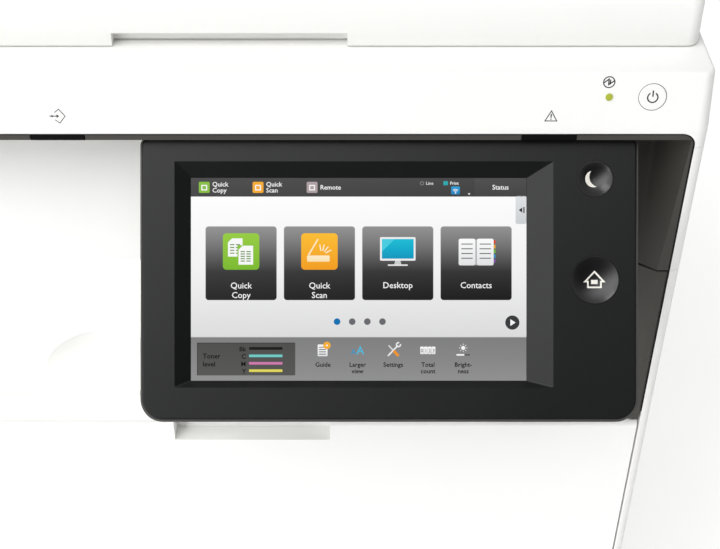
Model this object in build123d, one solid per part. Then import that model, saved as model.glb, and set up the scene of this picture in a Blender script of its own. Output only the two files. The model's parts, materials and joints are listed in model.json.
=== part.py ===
from build123d import *
import os
from math import cos, radians, sin

# An office colour photocopier with a document feeder, an in-body output tray, a tilting touch panel and
# two paper cassettes. Sizes are in millimetres. +X is to the right, the front faces -Y and +Z is up.
# The origin is on the floor, in the middle of the overall box.

# ---------------------------------------------------------------- driving sizes: whole machine
width = 610.0
body_depth = 600.0
skin = 3.0                      # wall of the moulded covers
seam = 1.5                      # gap between neighbouring front parts
thin_seam = 0.35                # gap at a closed joint line
trim_width = 8.0                # visible front edge of the white side covers
corner_radius = 7.8             # rounding of the upright outer corners
front_gap = 1.1                 # shadow gap between the white edge and the dark front
housing_gap = 1.6               # gap under the scanner housing, on the pillar
pin_clearance = 0.08            # radial gap of every pin and shaft

# ---------------------------------------------------------------- driving sizes: heights
foot_height = 12.0
foot_radius = 16.0
cassette_front_height = 118.0
door_height = 232.0
deck_lip = 6.0                  # edge of the output tray, over the door
cavity_height = 143.0           # output tray opening
scanner_height = 113.0          # dark scanner housing, up to the ledge's lower edge
ledge_slope = 77.0              # degrees from horizontal
ledge_length = 37.0             # along the slope
ledge_nose = 3.5                # upright part of the ledge's front edge
strip_height = 5.0              # dark lip under the ledge
side_seam_drop = 11.0           # seam of the side trim below the ledge
opening_radius = 9.0            # upper corners of the dark front, inside the white edge
feeder_base_height = 34.0
feeder_height = 125.0           # document feeder, above the glass

# ---------------------------------------------------------------- driving sizes: touch panel
panel_tilt = 40.0               # degrees from upright, at rest
panel_width = 319.1
panel_height = 182.0
panel_corner = 13.5
panel_front_thickness = 10.0
panel_thickness = 26.0
panel_rim = 1.2                 # the rear shell shows this much round the front shell
panel_edge = 1.5                # rounding of the front shell's outer edge
panel_right_gap = 43.5          # from the panel's right edge to the machine's right side
screen_left, screen_bottom = 31.1, 25.1
screen_width, screen_height = 217.5, 131.5
recess_left, recess_right, recess_top, recess_bottom = 9.9, 16.6, 10.3, 3.9
recess_depth = 4.2
screen_thickness = 3.6
screen_border = 5.0             # part of the screen held behind the bezel
button_inset = 27.0             # button centres, from the panel's right edge
sleep_button_radius, sleep_button_height = 11.5, 155.7
home_button_radius, home_button_height = 15.4, 90.5
dish_depth = 3.0
button_gap = 0.25
hinge_up, hinge_depth = 165.0, 19.0     # panel hinge, from the lower front edge
hinge_setback, hinge_drop = 12.5, 29.2  # panel hinge, from the front plane and the lip
panel_pin_radius, knuckle_radius = 4.0, 8.0
bracket_width, bracket_arm = 96.0, 14.0

# ---------------------------------------------------------------- driving sizes: ledge controls
power_button_radius, power_button_inset = 8.6, 39.0
power_button_up = 21.4          # along the slope, from the nose
lamp_radius, lamp_inset = 2.2, 66.2
bar_width = 35.0
error_bar_inset, data_bar_inset = 101.6, 414.3

# ---------------------------------------------------------------- driving sizes: body
pillar_width = 107.0
cavity_setback = 197.0          # from the output bay's rear wall to the machine's rear
scoop_depth = 45.0              # at the lip
scoop_low_depth = 12.0          # at the bottom of the scanner housing, and down the pillar
scoop_slant = 13.6              # slant of the scoop's right end, at the lip
scoop_low_edge, scoop_low_slant = 5.0, 18.0     # flat edge and slant of its right end at the bottom
scoop_left_slant = 26.0
glass_setback, lid_setback = 97.0, 40.0         # glass and lid, from the front plane
door_thickness = 19.0
cassette_play = 14.0            # behind the cassettes, to the rear frame plate
cassette_tray_height = 84.0
tray_wall = 2.5
rear_bay = 112.0                # room for the electronics behind the rear frame plate
plate = 2.0                     # steel sheet
drum_radius, roller_radius = 15.0, 12.0
belt_thickness = 0.6
fuser_roller_radius = 16.0
shaft_radius = 4.0

# ---------------------------------------------------------------- places worked out from the sizes
half = width / 2
tilt = radians(panel_tilt)
panel_overhang = (-hinge_setback + (hinge_up - panel_edge) * sin(tilt)
                  + (hinge_depth - panel_edge) * cos(tilt) + panel_edge)
y_rear = (body_depth + panel_overhang) / 2
y_front = y_rear - body_depth
inner_x = half - trim_width     # inner edge of the white trim
front_half = inner_x - seam     # half width of the door and the cassette fronts

z_base = foot_height
cassette_z = [z_base + 6 + (cassette_front_height + seam * 2) * i for i in range(2)]
door_z = cassette_z[1] + cassette_front_height + seam * 2
door_top = door_z + door_height + seam    # lower edge of what lies over the door
cavity_z = door_top + deck_lip
scanner_z = cavity_z + cavity_height
ledge_z = scanner_z + scanner_height
lip_z = ledge_z - strip_height
seam_z = ledge_z - side_seam_drop
slope = radians(ledge_slope)
ledge_run, ledge_rise = ledge_length * cos(slope), ledge_length * sin(slope)
glass_z = ledge_z + ledge_nose + ledge_rise
top_z = glass_z + feeder_height
pillar_x = inner_x - pillar_width
y_cavity = y_rear - cavity_setback
y_plate_front = y_front + door_thickness + 6
y_plate_rear = y_rear - rear_bay
cassette_depth = y_plate_rear - y_front - door_thickness - cassette_play
hinge_y = y_front + hinge_setback
hinge_z = lip_z - hinge_drop

parts = {}


# ---------------------------------------------------------------- shape helpers
def block(x0, x1, y0, y1, z0, z1):
    """A box between two corners."""
    return Pos((x0 + x1) / 2, (y0 + y1) / 2, (z0 + z1) / 2) * Box(x1 - x0, y1 - y0, z1 - z0)


def rod_x(x0, x1, y, z, r):
    """A round bar along X."""
    return Pos((x0 + x1) / 2, y, z) * Rot(0, 90, 0) * Cylinder(r, x1 - x0)


def rod_y(x, y0, y1, z, r):
    """A round bar along Y."""
    return Pos(x, (y0 + y1) / 2, z) * Rot(90, 0, 0) * Cylinder(r, y1 - y0)


def prism_x(points, x0, x1):
    """A polygon of (y, z) points carried along X."""
    face = Face(Wire.make_polygon([Vector(x0, y, z) for y, z in points]))
    return Solid.extrude(face, Vector(x1 - x0, 0, 0))


def prism_y(points, y0, y1):
    """A polygon of (x, z) points carried along Y."""
    face = Face(Wire.make_polygon([Vector(x, y0, z) for x, z in points]))
    return Solid.extrude(face, Vector(0, y1 - y0, 0))


def faceted(corners, faces):
    """A solid with flat faces, each a list of corner numbers."""
    made = [Face(Wire.make_polygon([Vector(*corners[i]) for i in f])) for f in faces]
    return Solid(Shell(made))


def slab_y(x0, x1, y0, y1, z0, z1, radius):
    """A box whose four edges along Y are rounded."""
    return fillet(block(x0, x1, y0, y1, z0, z1).edges().filter_by(Axis.Y), radius)


def upright_edges(shape):
    return shape.edges().filter_by(Axis.Z)


def at(shape, axis, value, tolerance=0.02):
    """The edges of a shape that lie in one plane across an axis."""
    place = {Axis.X: "X", Axis.Y: "Y", Axis.Z: "Z"}[axis]
    found = []
    for e in shape.edges():
        box = e.bounding_box()
        low, high = getattr(box.min, place), getattr(box.max, place)
        if abs(low - value) < tolerance and abs(high - value) < tolerance:
            found.append(e)
    return ShapeList(found)


# ---------------------------------------------------------------- feet and frame
def rubber_feet():
    """Four round rubber feet, wider at the floor."""
    inset = 55.0
    feet = []
    for x in (-half + inset, half - inset):
        for y in (y_front + inset, y_rear - inset):
            feet.append(Pos(x, y, foot_height / 2) * Cone(foot_radius, foot_radius - 3, foot_height))
    return Compound(feet)


rail_x = half - 30.0            # inner face of the frame's side plates
rail_height = 6.0


def rail_z(i):
    return cassette_z[i] + 34.0


def main_frame():
    """Bent steel sheet: floor, side, front and rear plates, a shelf for the engine, scanner posts."""
    side_top = cavity_z - 14
    frame = block(-half + 8, half - 8, y_plate_front, y_rear - 6, z_base, z_base + plate)
    for s in (-1, 1):
        x = sorted((s * rail_x, s * (rail_x + plate)))
        top = side_top if s < 0 else door_z - 4
        frame += block(*x, y_plate_front, y_plate_rear + plate, z_base, top)
        for i in range(2):
            rail = sorted((s * rail_x, s * (rail_x - 9)))
            frame += block(*rail, y_plate_front, y_plate_rear - 15, rail_z(i) - rail_height, rail_z(i) - 2)
    frame += block(-rail_x, rail_x, y_plate_rear, y_plate_rear + plate, z_base, scanner_z - 3)
    frame += block(-rail_x, rail_x + plate, y_plate_front, y_plate_rear, door_z - 4, door_z - 4 + plate)
    front = block(-rail_x, rail_x, y_plate_front, y_plate_front + plate, door_z - 4, side_top)
    for x in toner_x:
        mouth = toner_w / 2 + 2
        front -= slab_y(x - mouth, x + mouth, y_plate_front - 1, y_plate_front + plate + 1,
                        toner_z - plate - 2, toner_z + toner_h + 2, 8)
        front -= rod_y(x, y_plate_front - 1, y_plate_front + plate + 1, drum_z, shaft_radius + pin_clearance)
    for x in (belt_x0, belt_x1):
        front -= rod_y(x, y_plate_front - 1, y_plate_front + plate + 1, belt_z, shaft_radius + pin_clearance)
    frame += front
    for x in toner_x:
        frame -= rod_y(x, y_plate_rear - 1, y_plate_rear + plate + 1, drum_z, shaft_radius + pin_clearance)
    for x in (belt_x0, belt_x1):
        frame -= rod_y(x, y_plate_rear - 1, y_plate_rear + plate + 1, belt_z, shaft_radius + pin_clearance)
    frame += block(-rail_x, belt_x1 + 12, y_plate_front + plate - 0.5, y_plate_rear, toner_z - plate, toner_z)
    post = 26.0
    for y, shelf in ((y_front + 26, (0, 44)), (y_cavity + 17, (-20, post))):
        frame += block(rail_x - post - 2, rail_x - 2, y, y + post, door_z - 4, scanner_z - 3)
        frame += block(path_x - 20, rail_x - 2, y + shelf[0], y + shelf[1],
                       fuser_z - 24 - plate, fuser_z - 24)
    for y in (paper_y - 66, paper_y + 62):
        frame += block(pickup_x - 7, pickup_x + 7, y, y + 4, pickup_z - 6, door_z - 3)
        frame -= rod_y(pickup_x, y - 1, y + 5, pickup_z, 3 + pin_clearance)
    return frame


# ---------------------------------------------------------------- white side and rear covers
def side_trim(s, z0, z1):
    """The front edge of a side cover: a bar with a rounded outer corner."""
    x0, x1 = sorted((s * inner_x, s * half))
    bar = block(x0, x1, y_front, y_front + 14, z0, z1)
    corner = [e for e in upright_edges(bar)
              if abs(e.center().X - s * half) < 0.1 and abs(e.center().Y - y_front) < 0.1]
    return fillet(corner, corner_radius)


door_axis = (y_front + door_thickness / 2, door_z + door_thickness / 2)
door_pin = 3.0
side_door_y = (y_front + 44.0, y_cavity - 16.0)
side_door_z = (door_z + 26.0, scanner_z - 16.0)
side_door_thickness = 18.0
side_axis = (half - side_door_thickness / 2, side_door_z[0] + side_door_thickness / 2)
side_pin = 3.0


def right_cover():
    """Right side cover with its white front edge and the opening for the side door."""
    top = scanner_z - thin_seam
    cover = side_trim(1, z_base, top)
    cover += block(half - skin, half, y_front + 10, y_rear - skin - thin_seam, z_base, top)
    cover -= block(half - skin - 1, half + 1, side_door_y[0] - seam, side_door_y[1] + seam,
                   side_door_z[0] - seam, side_door_z[1] + seam)
    cover -= rod_x(inner_x - 1, inner_x + 5, *door_axis, door_pin + pin_clearance)
    for y0, y1 in ((side_door_y[0] - seam - 10, side_door_y[0] - seam),
                   (side_door_y[1] + seam, side_door_y[1] + seam + 10)):
        ear = block(side_axis[0] - 8, half - 1, y0, y1, side_axis[1] - 9, side_axis[1] + 9)
        cover += ear
        cover -= rod_y(side_axis[0], y0 - 1, y1 + 1, side_axis[1], side_pin + pin_clearance)
    return cover


def left_cover():
    """Left side cover: full depth below the output tray, only the rear column above it."""
    top = door_top - thin_seam
    cover = side_trim(-1, z_base, top)
    cover += block(-half, -half + skin, y_front + 10, y_rear - skin - thin_seam, z_base, top)
    cover += block(-half, -half + skin, y_cavity, y_rear - skin - thin_seam, top - 1, scanner_z - thin_seam)
    cover -= rod_x(-inner_x - 5, -inner_x + 1, *door_axis, door_pin + pin_clearance)
    for i in range(9):
        z = 60.0 + 11 * i
        cover -= block(-half - 1, -half + skin + 1, y_rear - 150, y_rear - 50, z, z + 5)
    return cover


psu_x, psu_size = -half + 45, (190.0, 84.0, 92.0)
inlet_size = (50.0, 28.0)
port_x, port_z = 60.0, 420.0


def rear_cover():
    """Rear cover with cooling louvres, a fan grille and cut-outs for the inlet and the ports."""
    cover = block(-half, half, y_rear - skin, y_rear, z_base, scanner_z - thin_seam)
    edges = [e for e in upright_edges(cover) if abs(e.center().Y - y_rear) < 0.1]
    cover = fillet(edges, skin - 0.4)
    for i in range(10):
        z = 210.0 + 12 * i
        cover -= block(-half + 60, -half + 200, y_rear - skin - 1, y_rear + 1, z, z + 6)
    fan = (half - 110, 230.0)
    for ring in range(4):
        r = 12.0 + 12 * ring
        hole = rod_y(fan[0], y_rear - skin - 1, y_rear + 1, fan[1], r + 5)
        hole -= rod_y(fan[0], y_rear - skin - 2, y_rear + 2, fan[1], r)
        for turn in (0, 90):
            hole -= Pos(fan[0], y_rear, fan[1]) * Rot(0, turn + 45, 0) * Box(5, 20, 140)
        cover -= hole
    cover -= block(psu_x + 20, psu_x + 20 + inlet_size[0], y_rear - skin - 1, y_rear + 1,
                   40, 40 + inlet_size[1])
    cover -= block(port_x, port_x + 120, y_rear - skin - 1, y_rear + 1, port_z, port_z + 34)
    return cover


# ---------------------------------------------------------------- front door and cassettes
def tub_y(outer, wall, x0, x1, y0, y1, z0, z1):
    """Hollows a front part from behind, leaving its face and its edges."""
    return outer - block(x0 + wall, x1 - wall, y0 + wall, y1 + 1, z0 + wall, z1 - wall)


door_grip_half, door_grip_depth, door_grip_height = 60.0, 14.0, 20.0


def front_door():
    """Front door, hinged along its lower edge: rounded there about the hinge, with a grip at the top."""
    y0, y1 = y_front, y_front + door_thickness
    z0, z1 = door_z, door_z + door_height
    door = block(-front_half, front_half, y0, y1, z0, z1)
    low = at(door, Axis.Z, z0).filter_by(Axis.X)
    door = fillet(low, door_thickness / 2 - 0.05)
    door = fillet(at(door, Axis.Y, y0).filter_by(Axis.X).sort_by(Axis.Z)[-1:], 5)
    door -= block(-front_half + skin, front_half - skin, y0 + skin, y1 + 1,
                  z0 + door_thickness + 4, z1 - skin)
    hollow = (door_grip_half, door_grip_depth, door_grip_height)
    door += block(-hollow[0] - skin, hollow[0] + skin, y0 + 1, y0 + hollow[1] + skin,
                  z1 - hollow[2] - skin, z1)
    door -= block(-hollow[0], hollow[0], y0 - 1, y0 + hollow[1], z1 - hollow[2], z1 + 1)
    for s in (-1, 1):
        x = sorted((s * (front_half - 1), s * (front_half + 5)))
        door += rod_x(*x, *door_axis, door_pin)
    return door


grip_half, grip_height, grip_depth = 82.0, 30.0, 15.0


def cassette_front(i):
    """Front of a paper cassette, with a hand recess at the top and a level window at the right."""
    z0 = cassette_z[i]
    z1 = z0 + cassette_front_height
    y0, y1 = y_front, y_front + door_thickness
    front = block(-front_half, front_half, y0, y1, z0, z1)
    front = fillet(at(front, Axis.Y, y0), 3)
    front = tub_y(front, skin, -front_half, front_half, y0, y1, z0, z1)
    pocket = block(-grip_half - skin, grip_half + skin, y0 + 2, y1, z1 - grip_height - skin, z1 - 0.5)
    hollow = block(-grip_half, grip_half, y0 - 1, y0 + grip_depth, z1 - grip_height, z1 - 5)
    hollow = fillet(at(hollow, Axis.Y, y0 + grip_depth).filter_by(Axis.X), 8)
    hollow = fillet(upright_edges(hollow), 6)
    front = front + pocket - hollow
    front -= block(front_half - 34, front_half - 28, y0 - 1, y0 + 1.2, z0 + 20, z0 + 58)
    return front


tray_half = rail_x - 12.0


def cassette_tray(i):
    """Open paper tray with a rail along each side."""
    y0, y1 = y_front + door_thickness, y_front + door_thickness + cassette_depth
    z0 = cassette_z[i] + 8
    z1 = z0 + cassette_tray_height
    tray = block(-tray_half, tray_half, y0, y1, z0, z1)
    tray = fillet([e for e in upright_edges(tray) if e.center().Y > y1 - 1], 6)
    tray -= block(-tray_half + tray_wall, tray_half - tray_wall, y0 + tray_wall, y1 - tray_wall,
                  z0 + tray_wall, z1 + 1)
    for s in (-1, 1):
        rail = sorted((s * tray_half, s * (rail_x - 1)))
        tray += block(*rail, y0, y1, rail_z(i), rail_z(i) + rail_height)
    if i == 1:
        for s in (-1, 1):
            y = paper_y + s * (lift_half + 5)
            tray += block(lift_x[0] - 8, lift_x[0] + 4, y - 3, y + 3,
                          z0 + tray_wall - 0.5, z0 + tray_wall + 8)
            tray -= rod_y(lift_x[0] - 2, y - 4, y + 4, z0 + tray_wall + 5, lift_pin + pin_clearance)
    return tray


paper_y = y_front + door_thickness + cassette_depth / 2
paper_width = 297.0
paper_length = 420.0
lift_x = (tray_half - 330, tray_half - 8)
lift_half, lift_pin = 96.0, 1.5
guide_travel = 43.0
length_guide_travel = 85.0


def lift_plate():
    """Steel plate that lifts the paper, hinged at its left end."""
    z = cassette_z[1] + 8 + tray_wall + 5
    made = block(lift_x[0] - 2, lift_x[1], paper_y - lift_half, paper_y + lift_half, z - 1, z + 1)
    return made + rod_y(lift_x[0] - 2, paper_y - lift_half - 7, paper_y + lift_half + 7, z, lift_pin)


def width_guide(s):
    """Paper side guide: an upright wall on a foot that slides across the tray."""
    z = cassette_z[1] + 8 + tray_wall + 0.3
    x0, x1 = lift_x[0] + 40, lift_x[1] - 20
    y = sorted((paper_y + s * paper_width / 2, paper_y + s * (paper_width / 2 + 3)))
    made = block(x0, x1, *y, z, z + 60)
    foot = sorted((paper_y + s * paper_width / 2, paper_y + s * (paper_width / 2 + 22)))
    made += block(x0 + 60, x1 - 60, *foot, z, z + 3)
    for x in (x0 + 70, x1 - 73):
        near, far = (paper_y + s * (paper_width / 2 + reach) for reach in (1, 20))
        made += prism_x([(near, z + 2), (far, z + 2), (near, z + 50)], x, x + 3)
    return made


def length_guide():
    """Stop for the paper's trailing edge, sliding along the tray."""
    z = cassette_z[1] + 8 + tray_wall + 0.3
    x = lift_x[1] - paper_length - 3
    made = block(x, x + 3, paper_y - 45, paper_y + 45, z, z + 62)
    made += block(x - 34, x + 3, paper_y - 30, paper_y + 30, z, z + 4)
    made += prism_y([(x + 1, z + 3), (x - 30, z + 3), (x + 1, z + 50)], paper_y - 2, paper_y + 2)
    return made


# ---------------------------------------------------------------- engine
path_x = pillar_x + 32                      # upright paper path
toner_w, toner_h = 74.0, 66.0
belt_x0, belt_x1 = -rail_x + 45, path_x - roller_radius - 14
toner_x = [belt_x0 + 22 + (belt_x1 - belt_x0 - 44) * (i + 0.5) / 4 for i in range(4)]
drum_z = door_z + 66
belt_z = drum_z + drum_radius + 0.3 + belt_thickness + roller_radius
toner_z = belt_z + roller_radius + 16
engine_y = (y_plate_front + 14, y_plate_rear - 14)
toner_names = ["black", "cyan", "magenta", "yellow"]


def toner_bottle(x):
    """Toner cartridge: a long box with rounded edges, a front cap and a carrying nub."""
    z0, z1 = toner_z, toner_z + toner_h
    bottle = slab_y(x - toner_w / 2, x + toner_w / 2, y_plate_front - 2, engine_y[1] - 40, z0, z1, 7)
    cap = slab_y(x - toner_w / 2 + 8, x + toner_w / 2 - 8, y_plate_front - 5, y_plate_front - 1,
                 z0 + 8, z1 - 8, 6)
    bottle += cap
    bottle -= slab_y(x - 18, x + 18, y_plate_front - 6, y_plate_front + 12, z0 + 22, z1 - 16, 5)
    return bottle


def roller(x, z, r, y0, y1, shaft0, shaft1, shaft=shaft_radius):
    """A roller along Y with a thinner shaft."""
    return rod_y(x, y0, y1, z, r) + rod_y(x, shaft0, shaft1, z, shaft)


def drum(x):
    return roller(x, drum_z, drum_radius, *engine_y, y_plate_front - 3, y_plate_rear + 8)


def belt_roller(x):
    return roller(x, belt_z, roller_radius, *engine_y, y_plate_front - 3, y_plate_rear + 8)


def transfer_belt():
    """Endless belt round its two rollers."""
    y0, y1 = engine_y[0] + 6, engine_y[1] - 6
    gap = 0.1
    r0, r1 = roller_radius + gap, roller_radius + gap + belt_thickness

    def loop(r, a, b):
        return rod_y(belt_x0, a, b, belt_z, r) + rod_y(belt_x1, a, b, belt_z, r) + block(
            belt_x0, belt_x1, a, b, belt_z - r, belt_z + r)

    return loop(r1, y0, y1) - loop(r0, y0 - 1, y1 + 1)


def laser_unit():
    """Sealed laser scanning box with a ribbed lid and four exit windows."""
    z0 = door_z - 4 + plate
    box = block(belt_x0 - 8, belt_x1 - 20, engine_y[0] + 20, engine_y[1] - 30, z0, z0 + 34)
    box = fillet(upright_edges(box), 8)
    for x in toner_x:
        box += block(x - 9, x + 9, engine_y[0] + 40, engine_y[1] - 50, z0 + 33, z0 + 38)
    return box


fuser_z = toner_z + 48
heat_x, pressure_x = path_x - fuser_roller_radius - 0.2, path_x + fuser_roller_radius + 0.2
fuser_y = (engine_y[0] + 26, engine_y[1] - 70)


def fuser_housing():
    """Frame of the fusing unit: two end plates, a back shield at each side and a handle."""
    x0, x1 = heat_x - fuser_roller_radius - 4, pressure_x + fuser_roller_radius + 4
    z0, z1 = fuser_z - 24, fuser_z + 26
    made = None
    for y in (fuser_y[0] - 6, fuser_y[1] + 2):
        end = block(x0, x1, y, y + 4, z0, z1)
        for x in (heat_x, pressure_x):
            end -= rod_y(x, y - 1, y + 5, fuser_z, shaft_radius + pin_clearance)
        made = end if made is None else made + end
    for x in (x0, x1 - 2):
        made += block(x, x + 2, fuser_y[0] - 6, fuser_y[1] + 6, z0, z1)
    return made


def fuser_roller(x):
    return roller(x, fuser_z, fuser_roller_radius, *fuser_y, fuser_y[0] - 9, fuser_y[1] + 9)


def segment_roller(x, z, r, y0, y1, count, shaft):
    """Short rubber tyres spaced along one shaft."""
    made = rod_y(x, y0, y1, z, shaft)
    step = (y1 - y0) / count
    for i in range(count):
        c = y0 + step * (i + 0.5)
        made += rod_y(x, c - step * 0.22, c + step * 0.22, z, r)
    return made


pickup_radius = 11.0
pickup_x, pickup_z = tray_half - 44, cassette_z[1] + 8 + cassette_tray_height + pickup_radius + 2
exit_radius = 8.0
exit_x, exit_z = pillar_x + skin + exit_radius + 3, cavity_z + 95


def power_supply():
    """Boxed supply with its inlet, which reaches through the rear cover."""
    w, d, h = psu_size
    z0 = z_base + plate
    box = block(psu_x, psu_x + w, y_rear - skin - 6 - d, y_rear - skin - 6, z0, z0 + h)
    inlet = block(psu_x + 20 + 0.5, psu_x + 20 + inlet_size[0] - 0.5, y_rear - skin - 8, y_rear - 0.5,
                  40.5, 40 + inlet_size[1] - 0.5)
    cup = block(psu_x + 20 + 5, psu_x + 20 + inlet_size[0] - 17, y_rear - 16, y_rear + 1, 44.5, 63.5)
    pins = None
    for dx, dz in ((-7, -2), (7, -2), (0, 4)):
        x, z = psu_x + 20 + 19 + dx, 54 + dz
        pin = block(x - 1, x + 1, y_rear - 17, y_rear - 6.5, z - 2.5, z + 2.5)
        pins = pin if pins is None else pins + pin
    switch_x = psu_x + 20 + inlet_size[0] - 13
    rocker = block(switch_x, switch_x + 9, y_rear - 2, y_rear - 0.2, 46, 62)
    return box + inlet - cup + pins + rocker


def main_board():
    """Controller board on the rear frame plate, with chips, capacitors and the ports."""
    y = y_plate_rear + plate + 8
    board = block(-70, 200, y, y + 1.6, door_z + 20, port_z + 50)
    for x, z in ((-40, 320), (20, 300), (90, 330), (150, 300), (-30, 400)):
        board += block(x, x + 34, y + 1.5, y + 6, z, z + 34)
    for i in range(6):
        board += Pos(-50 + 16 * i, y + 11, 372) * Rot(90, 0, 0) * Cylinder(5, 20)
    for i, w in enumerate((18, 16, 34, 20)):
        x = port_x + 4 + (0, 24, 46, 86)[i]
        board += block(x, x + w, y + 1.5, y_rear - skin - 3, port_z + 6, port_z + 6 + 15)
    for s in (-60, 190):
        for z in (door_z + 26, port_z + 42):
            board += rod_y(s, y - 8, y + 0.1, z, 3)
    return board


# ---------------------------------------------------------------- output side
hollow_depth = 3.0              # finger hollow in the deck
deck_relief = 80.0              # the deck's underside is raised this far back, clear of the door's grip


def output_tray():
    """Floor of the output bay: a flat deck with a ramp for the sheets and a finger scoop."""
    z = cavity_z
    x0, x1 = -half + skin + 0.5, pillar_x - 0.5
    deck = block(-half, x1, y_front, y_cavity - 0.5, z - deck_lip - 4, z)
    deck = fillet(upright_edges(deck).sort_by(Axis.X)[:2].sort_by(Axis.Y)[:1], corner_radius)
    deck = fillet(at(deck, Axis.Z, z).filter_by(Axis.X).sort_by(Axis.Y)[:1], 3)
    deck -= block(-half - 1, x0, y_front - 1, y_cavity, z - 20, z - deck_lip)
    deck -= block(x0 - 1, x1 + 1, y_front - 1, y_front + deck_relief, z - 20, z - deck_lip)
    slopes = [(x1 - 4, z - 1), (x1 - 4, z + 4), (x0 + 150, z + 34), (x0 + 96, z + 34), (x0 + 14, z - 1)]
    ramp = prism_y(slopes, y_front + 22, y_cavity - 6)
    ramp = fillet(ramp.edges().filter_by(Axis.Y).sort_by(Axis.Z)[-2:], 12)
    ramp = fillet(at(ramp, Axis.Y, y_front + 22).sort_by(Axis.Z)[-3:], 4)
    tray = deck + ramp
    tray -= Pos(x0 + 190, y_front + 20, z + 44 - hollow_depth) * Sphere(44)
    return tray


scoop_x = inner_x - front_gap - 1.0     # right edge of the scoop, at the lip


def outline(points, z, rounding):
    """A level face from (x, y) points, with some of its corners rounded: {corner number: radius}."""
    face = Face(Wire.make_polygon([Vector(x, y, z) for x, y in points]))
    for i, radius in rounding.items():
        x, y = points[i]
        corner = [v for v in face.vertices() if abs(v.X - x) < 0.01 and abs(v.Y - y) < 0.01]
        face = face.fillet_2d(radius, corner)
    return face


def pillar_cover():
    """Dark cover of the right pillar: stepped-back front face and the inner side with the sheet exit slot."""
    z0, z1 = cavity_z - deck_lip - 4, scanner_z - housing_gap
    x0, x1 = pillar_x, inner_x - front_gap
    y0, y1 = y_front + 1, y_cavity - 0.5
    xa = scoop_x - scoop_low_edge
    xb, yb = xa - scoop_low_slant, y_front + scoop_low_depth
    outer = [(x1, y0), (xa, y0), (xb, yb), (x0, yb), (x0, y1), (x1, y1)]
    inner = [(x1 + 1, y0 + skin), (xa + 1, y0 + skin), (xb + 1, yb + skin), (x0 + skin, yb + skin),
             (x0 + skin, y1 + 1), (x1 + 1, y1 + 1)]
    shell = extrude(outline(outer, z0, {1: 7, 2: 7, 3: 12}), z1 - z0, dir=(0, 0, 1))
    rim = [e for e in at(shell, Axis.Z, z1) if e.center().Y < yb + 4 and e.center().X > x0 + 6]
    shell = fillet(rim, 0.8)
    shell -= extrude(outline(inner, z0 - 1, {1: 7, 2: 7, 3: 9}), z1 - z0 + 2, dir=(0, 0, 1))
    shell -= block(x0 - 1, x0 + skin + 1, y0 + 52, y1 - 26, exit_z - 9, exit_z + 7)
    shell -= block(x0 - 1, x1 + 1, y0 - 1, y_front + door_thickness + 1, z0 - 1, door_top)
    for y in (y_front + 46, y_cavity - 26):
        ear = block(x0 + 1, exit_x + 6, y, y + 4, exit_z - 6, exit_z + 6)
        shell += ear - rod_y(exit_x, y - 1, y + 5, exit_z, 3 + pin_clearance)
    return shell


def bay_liner():
    """White liner of the output bay: its rear wall, its ceiling and the recessed front under the lip."""
    solid = housing_solid()
    zone = block(-inner_x, pillar_x - 0.2, y_front, y_cavity + skin, scanner_z - 1, lip_z - 0.3)
    liner = (solid & zone) - solid.moved(Location((0, skin, skin)))
    liner += block(-inner_x + 0.5, pillar_x - 0.5, y_cavity, y_cavity + skin, cavity_z - 10, scanner_z + skin)
    for i in range(12):
        x = -half + 60 + 34 * i
        if x < pillar_x - 40:
            liner += block(x, x + 2, y_cavity - 2, y_cavity + 1, cavity_z + 44, scanner_z - 20)
    return liner


bypass_y = (side_door_y[0] + 34.0, side_door_y[1] - 34.0)
bypass_z = (side_door_z[0] + 46.0, side_door_z[0] + 236.0)
bypass_thickness = 10.0
bypass_axis = (half - bypass_thickness / 2, bypass_z[0] + bypass_thickness / 2)
bypass_pin = 2.5
notch_half = 34.0


def side_door():
    """Right side door over the paper path, rounded about its hinge, with a bay for the bypass tray."""
    x0, x1 = half - side_door_thickness, half
    y0, y1 = side_door_y
    z0, z1 = side_door_z
    door = block(x0, x1, y0, y1, z0, z1)
    door = fillet(at(door, Axis.Z, z0).filter_by(Axis.Y), side_door_thickness / 2 - 0.05)
    door = fillet(at(door, Axis.X, x1).filter_by(Axis.Y).sort_by(Axis.Z)[-1:], 2)
    door -= block(x0 - 1, x1 - skin, y0 + skin, y1 - skin, z0 + side_door_thickness + 4, z1 - skin)
    bay = block(x1 - bypass_thickness - 8, x1, bypass_y[0] - seam - skin, bypass_y[1] + seam + skin,
                bypass_z[0] - seam - skin, bypass_z[1] + seam + skin)
    door += bay
    door -= block(x1 - bypass_thickness - 8 + skin, x1 + 1, bypass_y[0] - seam, bypass_y[1] + seam,
                  bypass_z[0] - seam, bypass_z[1] + seam)
    door -= rod_y(bypass_axis[0], bypass_y[0] - seam - 2.5, bypass_y[1] + seam + 2.5, bypass_axis[1],
                  bypass_pin + pin_clearance)
    for i in range(9):
        y = y0 + 20 + (y1 - y0 - 40) * i / 8
        door += block(x0 + 2, x1 - skin + 0.5, y - 1, y + 1, bypass_z[1] + 10, z1 - 40)
    pull = block(x1 - 13, x1 + 1, (y0 + y1) / 2 - 50, (y0 + y1) / 2 + 50, z1 - 34, z1 - 12)
    door += block(x1 - 16, x1 - 1, (y0 + y1) / 2 - 53, (y0 + y1) / 2 + 53, z1 - 37, z1 - 1)
    door -= fillet(pull.edges().filter_by(Axis.Y).sort_by(Axis.X)[:2], 6)
    for y in (y0 - 6, y1 - 1):
        door += rod_y(side_axis[0], y, y + 7, side_axis[1], side_pin)
    return door


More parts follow.
